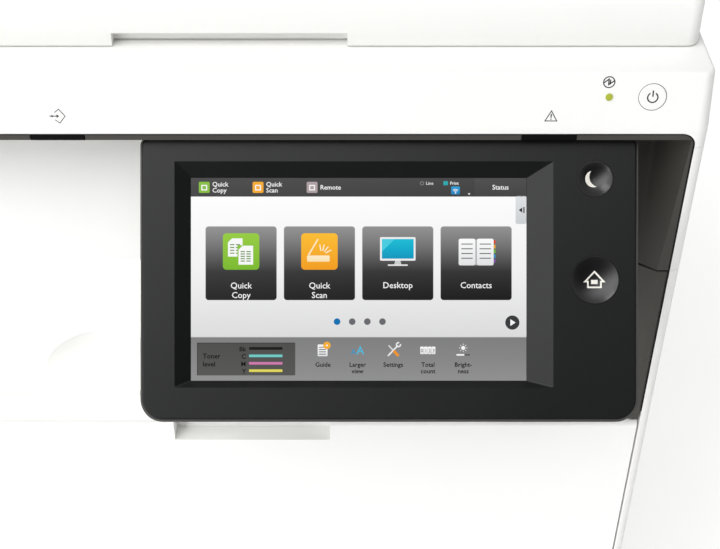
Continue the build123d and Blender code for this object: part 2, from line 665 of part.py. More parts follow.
def bypass_tray():
    """Fold-down tray for single sheets, with ribs and a finger notch."""
    x0, x1 = half - bypass_thickness, half
    y0, y1 = bypass_y
    z0, z1 = bypass_z
    tray = block(x0, x1, y0, y1, z0, z1)
    tray = fillet(at(tray, Axis.Z, z0).filter_by(Axis.Y), bypass_thickness / 2 - 0.05)
    tray = fillet(at(tray, Axis.X, x1).filter_by(Axis.Z), 1.2)
    tray -= block(x0 - 1, x0 + 6, y0 + 8, y1 - 8, z0 + 16, z1 - 30)
    y_mid = (y0 + y1) / 2
    notch = block(x1 - 7, x1 + 1, y_mid - notch_half, y_mid + notch_half, z1 - 22, z1 - 6)
    tray -= fillet(notch.edges().filter_by(Axis.Y).sort_by(Axis.X)[:2], 4)
    tray += rod_y(bypass_axis[0], y0 - seam - 2, y1 + seam + 2, bypass_axis[1], bypass_pin)
    return tray


# ---------------------------------------------------------------- scanner
def inner_front(inset, z0, y0, y1):
    """The opening inside the white edge, with two rounded upper corners, from y0 to y1 behind the front."""
    x = inner_x - inset
    body = block(-x, x, y_front + y0, y_front + y1, z0, ledge_z - inset)
    tops = body.edges().filter_by(Axis.Y).sort_by(Axis.Z)[-2:]
    return fillet(tops, opening_radius - inset)


def ledge_shape(inset, x):
    """Solid under the ledge's outer surface, from the nose to the rear, taken in by a wall."""
    y0, y1 = y_front + inset, y_rear - inset
    nose = ledge_z + ledge_nose
    drop = inset / cos(slope)
    foot = seam_z + thin_seam - (1 if inset else 0)
    brow = y_front + ledge_run + inset * (1 - cos(slope)) / sin(slope)
    points = [(y0, foot), (y0, nose - drop + inset * (sin(slope) / cos(slope))),
              (brow, glass_z - inset), (y1, glass_z - inset), (y1, foot)]
    return prism_x(points, -x, x)


glass_x = (-half + 105.0, half - 60.0)
glass_y = (y_front + glass_setback, y_front + glass_setback + 303)
slit_x = (glass_x[0] - 36, glass_x[0] - 12)
glass_thickness = 4.0
glass_rest = 4.0
ledge_plane = Plane(origin=(0, y_front, ledge_z + ledge_nose), x_dir=(1, 0, 0),
                    z_dir=(0, -sin(slope), cos(slope)))
power_x, lamp_x = half - power_button_inset, half - lamp_inset


def scanner_top():
    """White upper frame: the sloped control ledge, the front corners and the frame round the glass."""
    body = ledge_shape(0, half)
    nose = [e for e in body.edges().filter_by(Axis.X)
            if abs(e.center().Z - (ledge_z + ledge_nose)) < 0.5 and e.center().Y < y_front + 2]
    body = fillet(nose, 16)
    ends = [e for e in body.edges() if abs(abs(e.center().X) - half) < 0.1 and e.bounding_box().size.Z > 1]
    body = fillet(ends, corner_radius)
    brow = [e for e in body.edges() if abs(e.center().Z - glass_z) < 0.1 and e.center().Y < y_front + 25]
    body = fillet(brow, 2.5)
    body -= ledge_shape(skin, half - skin)
    for s in (-1, 1):
        x = sorted((s * (half - skin), s * inner_x))
        body += block(*x, y_front + 3, y_front + 14, seam_z + thin_seam, ledge_z + 1)
    body -= inner_front(0, seam_z - 5, -1, 16)
    body -= block(glass_x[0], glass_x[1], *glass_y, glass_z - 10, glass_z + 1)
    body -= block(slit_x[0], slit_x[1], *glass_y, glass_z - 10, glass_z + 1)
    for x0, x1 in (glass_x, slit_x):
        rim = block(x0 - 5, x1 + 5, glass_y[0] - 5, glass_y[1] + 5, glass_z - glass_thickness - 2.5,
                    glass_z - glass_thickness)
        rim -= block(x0 + glass_rest, x1 - glass_rest, glass_y[0] + glass_rest, glass_y[1] - glass_rest,
                     glass_z - 12, glass_z)
        wall = block(x0 - 3, x1 + 3, glass_y[0] - 3, glass_y[1] + 3,
                     glass_z - glass_thickness - 1, glass_z - 1)
        wall -= block(x0, x1, *glass_y, glass_z - 12, glass_z)
        body += rim + wall
    body -= ledge_plane * Pos(power_x, power_button_up, 0) * Cylinder(power_button_radius + button_gap, 20)
    body -= ledge_plane * Pos(lamp_x, power_button_up, 0) * Cylinder(lamp_radius + 0.1, 20)
    collar = ledge_plane * Pos(power_x, power_button_up, -skin - 3) * (
        Cylinder(power_button_radius + button_gap + 1.6, 7) - Cylinder(power_button_radius + button_gap, 9))
    return body + collar


def scoop():
    """Wedge cut under the lip: deep at the top and shallow at the bottom, with slanted, rounded ends."""
    ya = y_front - 1
    levels = ((scanner_z - 1, scoop_low_edge, scoop_low_slant, scoop_low_depth, 7),
              (lip_z, 0, scoop_slant, scoop_depth, 9))
    faces = []
    for z, edge, slant, depth, rounding in levels:
        x0, x1 = scoop_x - edge, -scoop_x + edge
        points = [(x1, ya), (x0, ya), (x0 - slant, y_front + depth), (x1 + scoop_left_slant, y_front + depth)]
        faces.append(outline(points, z, {2: rounding, 3: rounding}))
    return loft(faces, ruled=True)


def housing_solid():
    """The scanner housing before it is hollowed: lip, scooped front and body."""
    body = inner_front(front_gap, scanner_z, 0.5, 20)
    body += block(-inner_x + 0.5, inner_x - 0.5, y_front + 14.5, y_rear - skin - 0.5, scanner_z, seam_z)
    body += block(-inner_x + 0.5, inner_x - 0.5, y_front + 14.5, y_front + scoop_depth + 8,
                  scanner_z, ledge_z - 0.4)
    return body - scoop()


def scanner_housing():
    """Dark scanner tub: the lip under the ledge, the scooped front by the panel, the carriage's pan."""
    body = housing_solid()
    body -= block(-half + 24, half - 24, y_front + scoop_depth + 8, y_rear - 16,
                  scanner_z + pan_floor, ledge_z + 10)
    for x in (error_bar_x, data_bar_x):
        body -= block(x - bar_width / 2 - 0.2, x + bar_width / 2 + 0.2, y_front - 1, y_front + 6,
                      lip_z - 0.3, ledge_z - 0.8)
    body -= block(-inner_x + 0.5, inner_x - 0.5, y_front + 6, y_front + scoop_depth,
                  ledge_z - 2.2, ledge_z + 5)
    return body - bay_liner()


error_bar_x, data_bar_x = half - error_bar_inset, half - data_bar_inset


def status_lamps():
    """Two light bars let into the lip, for errors and for data, and the small round lamp by the power key."""
    lens = Cylinder(lamp_radius, 5)
    lens = fillet(lens.edges().group_by(Axis.Z)[-1], 0.8)
    made = [ledge_plane * Pos(lamp_x, power_button_up, -2.5 + 0.3) * lens]
    for x in (error_bar_x, data_bar_x):
        bar = block(x - bar_width / 2, x + bar_width / 2, y_front + 0.2, y_front + 5,
                    lip_z - 0.1, ledge_z - 1.0)
        made.append(fillet(at(bar, Axis.Y, y_front + 0.2), 0.4))
    return Compound(made)


def scanner_shell():
    """White band round the scanner's sides and rear, with the two front edges."""
    z0, z1 = scanner_z, seam_z
    y0, y1 = y_front, y_rear
    outer = block(-half, half, y0, y1, z0, z1)
    outer = fillet(upright_edges(outer), corner_radius)
    outer -= block(-half + skin, half - skin, y0 + 14, y1 - skin, z0 - 1, z1 + 1)
    outer -= block(-inner_x, inner_x, y0 - 1, y0 + 15, z0 - 1, z1 + 1)
    return outer


def platen_glass():
    """The large glass plate and the narrow one the feeder reads through."""
    made = []
    for x0, x1 in (glass_x, slit_x):
        made.append(block(x0 + 0.3, x1 - 0.3, glass_y[0] + 0.3, glass_y[1] - 0.3,
                          glass_z - glass_thickness, glass_z - 0.05))
    return Compound(made)


carriage_x = (slit_x[0] - 6, slit_x[0] + 42)
rail_y = (glass_y[0] + glass_y[1]) / 2
carriage_z = glass_z - glass_thickness - 36
pan_floor = 6.0
carriage_travel = glass_x[1] - carriage_x[1] - 4
rail_radius, rail_up = 4.0, 6.0


def scan_carriage():
    """Carriage with the lamp strip and the lens, running on the rail."""
    x0, x1 = carriage_x
    z0 = carriage_z
    body = block(x0, x1, glass_y[0] - 4, glass_y[1] + 4, z0, z0 + 26)
    body = fillet(upright_edges(body), 4)
    body -= block(x0 + 16, x1 - 16, glass_y[0] + 8, glass_y[1] - 8, z0 + 13, z0 + 27)
    for x in (x0 + 6, x1 - 11):
        body += block(x, x + 5, glass_y[0] + 8, glass_y[1] - 8, z0 + 25, z0 + 29)
    return body - rod_x(x0 - 1, x1 + 1, rail_y, z0 + rail_up, rail_radius + pin_clearance)


def carriage_rail():
    """Polished guide rod with its two end blocks on the pan's floor."""
    z = carriage_z + rail_up
    x0, x1 = -half + 26, half - 26
    made = rod_x(x0, x1, rail_y, z, rail_radius)
    for x in (x0, x1 - 8):
        made += block(x, x + 8, rail_y - 9, rail_y + 9, scanner_z + pan_floor, z + 7)
    return made


def power_button():
    """Round key in the ledge, with a flange behind it."""
    key = Cylinder(power_button_radius, 9)
    key = fillet(key.edges().group_by(Axis.Z)[-1], 0.6)
    return ledge_plane * Pos(power_x, power_button_up, -4.5 + 0.35) * key


# ---------------------------------------------------------------- touch panel
panel_x = half - panel_right_gap - panel_width / 2
up = Vector(0, sin(tilt), cos(tilt))
out = Vector(0, -cos(tilt), sin(tilt))
panel_origin = Vector(panel_x, hinge_y, hinge_z) - up * hinge_up + out * hinge_depth
panel_plane = Plane(origin=panel_origin, x_dir=(1, 0, 0), z_dir=out)
screen_x0 = -panel_width / 2 + screen_left
screen_x1 = screen_x0 + screen_width
screen_y1 = screen_bottom + screen_height
sleep_at = (panel_width / 2 - button_inset, sleep_button_height)
home_at = (panel_width / 2 - button_inset, home_button_height)


def panel_block(grow, c0, c1, low_radius, top_radius):
    """The panel's outline, grown by a margin, between two depths behind its face."""
    x, h = panel_width / 2 + grow, panel_height
    body = block(-x, x, -grow, h + grow, c0, c1)
    edges = body.edges().filter_by(Axis.Z)
    low = edges.sort_by(Axis.Y)[:2]
    body = fillet(low, low_radius + grow)
    tops = body.edges().filter_by(Axis.Z).sort_by(Axis.Y)[-2:]
    return fillet(tops, top_radius + grow)


def bezel_cut():
    """Sloped recess from the panel's face down to the screen."""
    x0, x1, y0, y1 = (screen_x0 - recess_left, screen_x1 + recess_right,
                      screen_bottom - recess_bottom, screen_y1 + recess_top)
    over = 0.5
    k = 1 + over / recess_depth

    def corner(sx, sy, scale):
        x = (screen_x0 - recess_left * scale) if sx < 0 else (screen_x1 + recess_right * scale)
        y = (screen_bottom - recess_bottom * scale) if sy < 0 else (screen_y1 + recess_top * scale)
        return x, y

    corners = []
    for scale, z in ((0, -recess_depth), (k, over)):
        for sx, sy in ((-1, -1), (1, -1), (1, 1), (-1, 1)):
            corners.append((*corner(sx, sy, scale), z))
    faces = [(0, 1, 2, 3), (4, 5, 6, 7), (0, 1, 5, 4), (1, 2, 6, 5), (2, 3, 7, 6), (3, 0, 4, 7)]
    cut = faceted(corners, faces)
    slants = [e for e in cut.edges() if abs(e.center().Z - (over - recess_depth) / 2) < 0.1]
    return fillet(slants, 1.6)


def panel_front():
    """Black front shell: the bezel round the screen and two wells for the keys."""
    body = panel_block(0, -panel_front_thickness, 0, panel_corner, 5)
    body = fillet(body.edges().group_by(Axis.Z)[-1], panel_edge)
    body -= bezel_cut()
    body -= block(screen_x0, screen_x1, screen_bottom, screen_y1, -recess_depth - 1, -recess_depth + 1)
    body -= block(screen_x0 - screen_border, screen_x1 + screen_border, screen_bottom - screen_border,
                  screen_y1 + screen_border, -panel_front_thickness - 1, -recess_depth - 0.6)
    for (x, y), r in ((sleep_at, sleep_button_radius), (home_at, home_button_radius)):
        body -= Pos(x, y, -panel_front_thickness / 2) * Cylinder(r + button_gap, panel_front_thickness + 2)
    return panel_plane * body


def touch_screen():
    """Glass of the display, held behind the bezel."""
    b = screen_border - 0.3
    glass = block(screen_x0 - b, screen_x1 + b, screen_bottom - b, screen_y1 + b,
                  -recess_depth - 0.7 - screen_thickness, -recess_depth - 0.7)
    step = block(screen_x0 + 0.2, screen_x1 - 0.2, screen_bottom + 0.2, screen_y1 - 0.2,
                 -recess_depth - 1, -recess_depth - 0.1)
    return panel_plane * (glass + step)


def dished_key(x, y, radius):
    """Round key with a hollow face for a fingertip."""
    depth = panel_front_thickness - 2.0
    key = Cylinder(radius, depth)
    key = Pos(x, y, -depth / 2) * key
    sphere_radius = ((radius - 0.4) ** 2 + dish_depth ** 2) / (2 * dish_depth)
    key -= Pos(x, y, sphere_radius - dish_depth) * Sphere(sphere_radius)
    return panel_plane * key


pocket_half = bracket_width / 2 + 2
pocket_low = hinge_up - 17


def panel_back():
    """Grey rear shell: a tub whose rim shows round the front shell, with the hinge pocket and knuckles."""
    body = panel_block(panel_rim, -panel_thickness, -2.5, panel_corner, 5)
    body = fillet(body.edges().group_by(Axis.Z)[0], 5)
    body -= panel_block(0.12, -panel_front_thickness - 0.1, 1, panel_corner, 5)
    hollow = panel_block(-skin, -panel_thickness + skin, -panel_front_thickness, panel_corner, 5.5)
    hollow -= block(-pocket_half - 16, pocket_half + 16, pocket_low - skin, panel_height + 9, -60, 0)
    body -= hollow
    body -= block(-pocket_half, pocket_half, pocket_low, panel_height + 9, -60, -panel_front_thickness)
    body -= Pos(0, hinge_up, -hinge_depth) * Rot(0, 90, 0) * Cylinder(
        panel_pin_radius + pin_clearance, bracket_width + 24)
    return panel_plane * body


def scoop_face_y(z):
    """Where the scooped face lies at a height."""
    share = (z - scanner_z + 1) / (lip_z - scanner_z + 1)
    return y_front + scoop_low_depth + (scoop_depth - scoop_low_depth) * share


def panel_bracket():
    """Hinge bracket of the panel: two arms and the pin, on the scooped face."""
    x0, x1 = panel_x - bracket_width / 2, panel_x + bracket_width / 2
    z0, z1 = hinge_z - 14, hinge_z + 14
    arm_outline = [(hinge_y, hinge_z - 6), (scoop_face_y(z0), z0),
                   (scoop_face_y(z1), z1), (hinge_y, hinge_z + 6)]
    made = rod_x(x0 - 10, x1 + 10, hinge_y, hinge_z, panel_pin_radius)
    for x in (x0, x1 - bracket_arm):
        made += prism_x(arm_outline, x, x + bracket_arm)
        made += rod_x(x, x + bracket_arm, hinge_y, hinge_z, knuckle_radius)
    return made


# ---------------------------------------------------------------- document feeder
lid_front = y_front + lid_setback
lid_half = half - 5.0
lid_z = glass_z + 1.0
barrel_radius = feeder_base_height / 2
lid_axis = (y_rear - barrel_radius - 8, lid_z + barrel_radius)
lid_pin = 5.0
hinge_x = half - 95.0
hinge_block = 44.0
feeder_x = (-lid_half, -half + 205.0)
feeder_y = (lid_front + 18, lid_axis[0] - 40)
feeder_split = lid_z + feeder_base_height + 34
cover_axis = (feeder_x[0] + 7.0, feeder_split + 7.5)
cover_pin = 2.5
ear_length = 12.0
pad_thickness = 0.8
doc_x = (feeder_x[1] + 2.0, lid_half - 6)
doc_axis = (doc_x[0] + 6.0, feeder_split + 1.0)
doc_y = (feeder_y[0] + 14, feeder_y[1] - 14)
doc_rise = 16.0


def feeder_body():
    """Lid with the lower half of the feeder: a slab that ends in a round barrel about the lid's hinge."""
    z0, z1 = lid_z, lid_z + feeder_base_height
    slab = block(-lid_half, lid_half, lid_front, lid_axis[0], z0, z1)
    front = [e for e in upright_edges(slab) if e.center().Y < lid_front + 1]
    slab = fillet(front, 8)
    slab = fillet([e for e in at(slab, Axis.Z, z1) if e.center().Y < lid_axis[0] - 1], 6)
    slab += rod_x(-lid_half, lid_half, *lid_axis, barrel_radius)
    slab -= block(-lid_half + 8, lid_half - 8, lid_front + 12, lid_axis[0] - 34, z0 - 1, z1 - 4)
    for s in (-1, 1):
        x0, x1 = s * hinge_x - hinge_block / 2 - 1, s * hinge_x + hinge_block / 2 + 1
        slab -= block(x0, x1, lid_axis[0] - 26, y_rear, z0 - 1, z1 + 1)
        slab -= rod_x(x0 - 12, x1 + 12, *lid_axis, lid_pin + pin_clearance)
    lower = block(feeder_x[0], feeder_x[1], *feeder_y, z1 - 3, feeder_split - thin_seam)
    lower = fillet(upright_edges(lower), 10)
    lower -= block(feeder_x[0] + skin, feeder_x[1] - skin, feeder_y[0] + skin, feeder_y[1] - skin, z1 - 4,
                   feeder_split + 1)
    lower -= block(feeder_x[1] - 9, feeder_x[1] + 1, doc_y[0] + 10, doc_y[1] - 10, z1 + 1, z1 + 18)
    body = slab + lower
    for y0 in (feeder_y[0] + 24, feeder_y[1] - 24 - ear_length):
        ear = block(cover_axis[0] - 5, cover_axis[0] + 6, y0, y0 + ear_length, z1 - 3, cover_axis[1])
        ear += rod_y(cover_axis[0], y0, y0 + ear_length, cover_axis[1], 5)
        body += ear
        body -= rod_y(cover_axis[0], y0 - 1, y0 + ear_length + 1, cover_axis[1], cover_pin + pin_clearance)
        arm = block(feeder_x[1] - skin, doc_axis[0] + 5, y0, y0 + 6, z1 - 3, doc_axis[1])
        arm += rod_y(doc_axis[0], y0, y0 + 6, doc_axis[1], 5)
        body += arm
        body -= rod_y(doc_axis[0], y0 - 1, y0 + 7, doc_axis[1], 2.5 + pin_clearance)
    for y in (feeder_y[0] + skin - 0.5, feeder_y[1] - skin - 5.5):
        cheek = block(feed_roller_x - 12, feed_roller_x + 12, y, y + 6, z1 - 3, feeder_split - 1)
        body += cheek
        body -= rod_y(feed_roller_x, y - 1, y + 7, feed_roller_z, 3 + pin_clearance)
    grip = Pos(0, lid_front, z0) * Rot(0, 90, 0) * Cylinder(9, 150)
    return body - grip


feed_roller_x, feed_roller_z = feeder_x[1] - 46.0, feeder_split - 8


def feeder_cover():
    """Jam cover over the feed rollers, hinged along its left edge."""
    x0, x1 = feeder_x
    z0, z1 = feeder_split, top_z
    shell = block(x0, x1, *feeder_y, z0, z1)
    shell = fillet(upright_edges(shell), 10)
    shell = fillet(at(shell, Axis.Z, z1), 9)
    inner = block(x0 + skin, x1 - skin, feeder_y[0] + skin, feeder_y[1] - skin, z0 - 1, z1 - skin)
    inner = fillet(at(inner, Axis.Z, z1 - skin), 6)
    shell -= inner
    shell -= prism_y([(x0 - 1, z0 - 1), (x0 - 1, z0 + 6.5), (x0 + 1, z0 + 3.5), (x0 + 3.5, z0 + 1),
                      (x0 + 7, z0 - 1)], feeder_y[0] - 1, feeder_y[1] + 1)
    shell -= block(x1 - skin - 1, x1 + 1, doc_y[0], doc_y[1], z0 - 1, z0 + 12)
    for y0 in (feeder_y[0] + 24, feeder_y[1] - 24 - ear_length):
        shell -= block(x0 - 1, cover_axis[0] + 8, y0 - 0.5, y0 + ear_length + 0.5,
                       z0 - 1, cover_axis[1] + 6.5)
        for ya in (y0 - 4.5, y0 + ear_length + 0.5):
            cheek = block(x0 + 1.5, cover_axis[0] + 5, ya, ya + 4, cover_axis[1] - 3.5, z0 + 22)
            shell += cheek
        shell += rod_y(cover_axis[0], y0 - 2, y0 + ear_length + 2, cover_axis[1], cover_pin)
    return shell


def doc_z(x):
    """Height of the document tray's surface."""
    share = (x - doc_x[0]) / (doc_x[1] - doc_x[0])
    return feeder_split + 4 + doc_rise * share


def document_tray():
    """Tray for the originals: a rising plate with a rim and a slot for each guide."""
    x0, x1 = doc_x
    x0 = x0 + 13
    points = [(x0, doc_z(x0) - 4), (x0, doc_z(x0)), (x1, doc_z(x1)), (x1, doc_z(x1) - 4)]
    tray = prism_y(points, *doc_y)
    corners = [e for e in tray.edges() if e.center().X > x1 - 0.5 and abs(e.center().Y - doc_y[0]) < 0.1
               or e.center().X > x1 - 0.5 and abs(e.center().Y - doc_y[1]) < 0.1]
    tray = fillet(corners, 14)
    for y in (doc_y[0], doc_y[1] - 4):
        rim = prism_y([(x0, doc_z(x0) - 6), (x0, doc_z(x0) + 7), (x1 - 60, doc_z(x1 - 60) + 5),
                       (x1 - 30, doc_z(x1 - 30)), (x1 - 30, doc_z(x1 - 30) - 6)], y, y + 4)
        tray += rim
    for y0 in (feeder_y[0] + 24, feeder_y[1] - 24 - ear_length):
        for ya in (y0 - 6.5, y0 + 6.5):
            lug = block(doc_axis[0] - 4, x0 + 2, ya, ya + 6, doc_axis[1] - 4, doc_z(x0) - 0.5)
            tray += lug
        tray += rod_y(doc_axis[0], y0 - 3, y0 + 9, doc_axis[1], 2.5)
    return tray


doc_guide_gap = 300.0
doc_guide_travel = 45.0


def document_guide(s):
    """Upright guide for the originals."""
    y_mid = (doc_y[0] + doc_y[1]) / 2
    x0, x1 = doc_x[0] + 20, doc_x[0] + 120
    y = sorted((y_mid + s * doc_guide_gap / 2, y_mid + s * (doc_guide_gap / 2 + 3)))
    wall = prism_y([(x0, doc_z(x0) + 0.3), (x1, doc_z(x1) + 0.3), (x1, doc_z(x1) + 12),
                    (x1 - 20, doc_z(x1) + 24), (x0, doc_z(x0) + 24)], *y)
    foot = sorted((y_mid + s * doc_guide_gap / 2, y_mid + s * (doc_guide_gap / 2 + 16)))
    wall += prism_y([(x0, doc_z(x0) + 0.3), (x1, doc_z(x1) + 0.3), (x1, doc_z(x1) + 2.3),
                     (x0, doc_z(x0) + 2.3)], *foot)
    return wall


def platen_pad():
    """White backing sheet under the lid."""
    return block(glass_x[0] - 4, glass_x[1] + 4, glass_y[0] - 4, glass_y[1] + 4, lid_z - pad_thickness, lid_z)


def lid_web():
    """Plate that closes the lid from below and carries the pad."""
    return block(-lid_half + 8, lid_half - 8, lid_front + 12, lid_axis[0] - 34, lid_z, lid_z + 2.5)


def feeder_hinges():
    """Two hinge blocks on the scanner's rear edge, each with its pin."""
    made = []
    for s in (-1, 1):
        x0, x1 = s * hinge_x - hinge_block / 2, s * hinge_x + hinge_block / 2
        unit = block(x0, x1, lid_axis[0] - 12, lid_axis[0] + 12, glass_z, lid_axis[1])
        unit += rod_x(x0, x1, *lid_axis, 12)
        unit += rod_x(x0 - 10, x1 + 10, *lid_axis, lid_pin)
        made.append(unit)
    return Compound(made)


# ---------------------------------------------------------------- build and write
def build():
    parts["rubber_feet"] = rubber_feet()
    parts["main_frame"] = main_frame()
    parts["right_cover"] = right_cover()
    parts["left_cover"] = left_cover()
    parts["rear_cover"] = rear_cover()
    parts["front_door"] = front_door()
    for i in range(2):
        parts[f"cassette_{2 - i}_front"] = cassette_front(i)
        parts[f"cassette_{2 - i}_tray"] = cassette_tray(i)
    parts["lift_plate"] = lift_plate()
    parts["width_guide_front"] = width_guide(-1)
    parts["width_guide_rear"] = width_guide(1)
    parts["length_guide"] = length_guide()
    for name, x in zip(toner_names, toner_x):
        parts[f"toner_{name}"] = toner_bottle(x)
        parts[f"drum_{name}"] = drum(x)
    parts["belt_drive_roller"] = belt_roller(belt_x1)
    parts["belt_idle_roller"] = belt_roller(belt_x0)
    parts["transfer_belt"] = transfer_belt()
    parts["laser_unit"] = laser_unit()
    parts["fuser_housing"] = fuser_housing()
    parts["heat_roller"] = fuser_roller(heat_x)
    parts["pressure_roller"] = fuser_roller(pressure_x)
    parts["pickup_roller"] = segment_roller(pickup_x, pickup_z, pickup_radius,
                                            paper_y - 70, paper_y + 70, 2, 3)
    parts["exit_roller"] = segment_roller(exit_x, exit_z, exit_radius, y_front + 50, y_cavity - 22, 6, 3)
    parts["power_supply"] = power_supply()
    parts["main_board"] = main_board()
    parts["output_tray"] = output_tray()
    parts["pillar_cover"] = pillar_cover()
    parts["bay_liner"] = bay_liner()
    parts["side_door"] = side_door()
    parts["bypass_tray"] = bypass_tray()
    parts["scanner_top"] = scanner_top()
    parts["scanner_housing"] = scanner_housing()
    parts["scanner_shell"] = scanner_shell()
    parts["status_lamps"] = status_lamps()
    parts["platen_glass"] = platen_glass()
    parts["scan_carriage"] = scan_carriage()
    parts["carriage_rail"] = carriage_rail()
    parts["power_button"] = power_button()
    parts["panel_bracket"] = panel_bracket()
    parts["panel_back"] = panel_back()
    parts["panel_front"] = panel_front()
    parts["touch_screen"] = touch_screen()
    parts["sleep_button"] = dished_key(*sleep_at, sleep_button_radius)
    parts["home_button"] = dished_key(*home_at, home_button_radius)
    parts["feeder_body"] = feeder_body() + lid_web()
    parts["feeder_cover"] = feeder_cover()
    parts["feeder_roller"] = segment_roller(feed_roller_x, feed_roller_z, 10,
                                            feeder_y[0] + 2, feeder_y[1] - 2, 3, 3)
    parts["document_tray"] = document_tray()
    parts["document_guide_front"] = document_guide(-1)
    parts["document_guide_rear"] = document_guide(1)
    parts["platen_pad"] = platen_pad()
    parts["feeder_hinges"] = feeder_hinges()


build()
os.makedirs("parts", exist_ok=True)
for name, shape in parts.items():
    export_step(shape, f"parts/{name}.step")
print(len(parts), "parts")
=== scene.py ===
# %% [markdown]
# # An office photocopier
# The machine's parts come from its design model, each at its real place and size. This notebook gives them
# their looks: moulded plastics, glass, rubber and steel, the lit display, the printed symbols, and the
# small pieces that a stylist would add, such as screws, marks and paper. Every length is in metres.

# %% Load the design model
import json
from math import cos, pi, radians, sin, tau

import bpy
import numpy as np
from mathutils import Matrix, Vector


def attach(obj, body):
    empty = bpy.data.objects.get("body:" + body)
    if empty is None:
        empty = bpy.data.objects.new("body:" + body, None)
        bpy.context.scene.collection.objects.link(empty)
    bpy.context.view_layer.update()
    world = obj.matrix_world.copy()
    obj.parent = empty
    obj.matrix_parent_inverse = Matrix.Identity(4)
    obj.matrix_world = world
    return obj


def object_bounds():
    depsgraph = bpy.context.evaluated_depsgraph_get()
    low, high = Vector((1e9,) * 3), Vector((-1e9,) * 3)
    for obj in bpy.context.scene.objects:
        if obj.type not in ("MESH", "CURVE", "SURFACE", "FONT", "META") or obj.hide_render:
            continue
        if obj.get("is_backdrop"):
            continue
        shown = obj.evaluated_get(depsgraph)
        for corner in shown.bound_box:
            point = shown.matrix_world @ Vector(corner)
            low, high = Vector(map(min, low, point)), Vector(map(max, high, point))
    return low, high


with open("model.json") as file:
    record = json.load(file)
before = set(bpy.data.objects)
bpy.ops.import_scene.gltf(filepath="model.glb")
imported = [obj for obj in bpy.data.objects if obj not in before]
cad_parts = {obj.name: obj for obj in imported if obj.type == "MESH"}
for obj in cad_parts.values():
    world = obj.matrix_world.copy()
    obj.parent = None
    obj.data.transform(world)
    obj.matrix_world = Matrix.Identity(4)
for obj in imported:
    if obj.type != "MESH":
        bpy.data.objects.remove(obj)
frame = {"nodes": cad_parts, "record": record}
design_low, design_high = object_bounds()
MM = 0.001

# %% [markdown]
# A shader is a small program drawn as a graph. Written as Python sums it is shorter and easier to read, so
# one class stands for a value in the graph: adding or multiplying two of them adds the Math node that does
# it. Colours must not go through Math nodes, which turn them grey, so they have methods of their own.


# %% A value in a shader
class Value:
    """One output of a shader node, on which sums and products can be written."""

    def __init__(self, graph, socket):
        self.graph = graph
        self.socket = socket

    def math(self, operation, *others):
        """The Math node for an operation on this value and others."""
        return self.graph.node("ShaderNodeMath", {"operation": operation}, {
            i: v for i, v in enumerate((self, *others))})

    def __add__(self, other):
        return self.math("ADD", other)

    def __radd__(self, other):
        return self.math("ADD", other)

    def __sub__(self, other):
        return self.math("SUBTRACT", other)

    def __rsub__(self, other):
        return self.graph.node("ShaderNodeMath", {"operation": "SUBTRACT"}, {0: other, 1: self})

    def __mul__(self, other):
        return self.math("MULTIPLY", other)

    def __rmul__(self, other):
        return self.math("MULTIPLY", other)

    def step(self, low, high):
        """0 below low, 1 above high, and a smooth rise between them."""
        return self.graph.node("ShaderNodeMapRange", {"interpolation_type": "SMOOTHSTEP"}, {
            "Value": self, "From Min": low, "From Max": high})

    def scaled(self, amounts):
        """A vector times another, part by part."""
        return self.graph.node("ShaderNodeVectorMath", {"operation": "MULTIPLY"}, {0: self, 1: amounts})

    def dot(self, direction):
        """How far a vector points along a direction."""
        return self.graph.node("ShaderNodeVectorMath", {"operation": "DOT_PRODUCT"},
                               {0: self, 1: direction}, "Value")


# %% [markdown]
# A finish is one material. It has the Principled shader, whose plain settings are given as numbers, and a
# method that adds any other node: first the node's own settings, then the values or links of its sockets.


# %% A finish
def tone(red, green, blue):
    """A colour given as the 0 to 255 numbers of a paint chart, as the linear light a shader works in."""
    chart = np.array([red, green, blue]) / 255.0
    linear = np.where(chart <= 0.04045, chart / 12.92, ((chart + 0.055) / 1.055) ** 2.4)
    return (*linear.tolist(), 1.0)


class Graph:
    """A node tree that is filled by calls instead of by hand."""

    def __init__(self, tree):
        self.tree = tree

    def node(self, kind, settings=None, sockets=None, output=0):
        """Adds a node, its settings first and then its sockets, and gives one of its outputs as a Value."""
        made = self.tree.nodes.new(kind)
        for key, value in (settings or {}).items():
            if key == "stops":
                self.set_stops(made.color_ramp, value)
            else:
                setattr(made, key, value)
        for key, value in (sockets or {}).items():
            self.feed(made.inputs[key], value)
        return Value(self, made.outputs[output])

    def feed(self, socket, value):
        if isinstance(value, Value):
            self.tree.links.new(value.socket, socket)
        else:
            socket.default_value = value

    def set_stops(self, ramp, stops):
        while len(ramp.elements) < len(stops):
            ramp.elements.new(0.5)
        for element, (place, colour) in zip(ramp.elements, stops):
            element.position = place
            element.color = colour


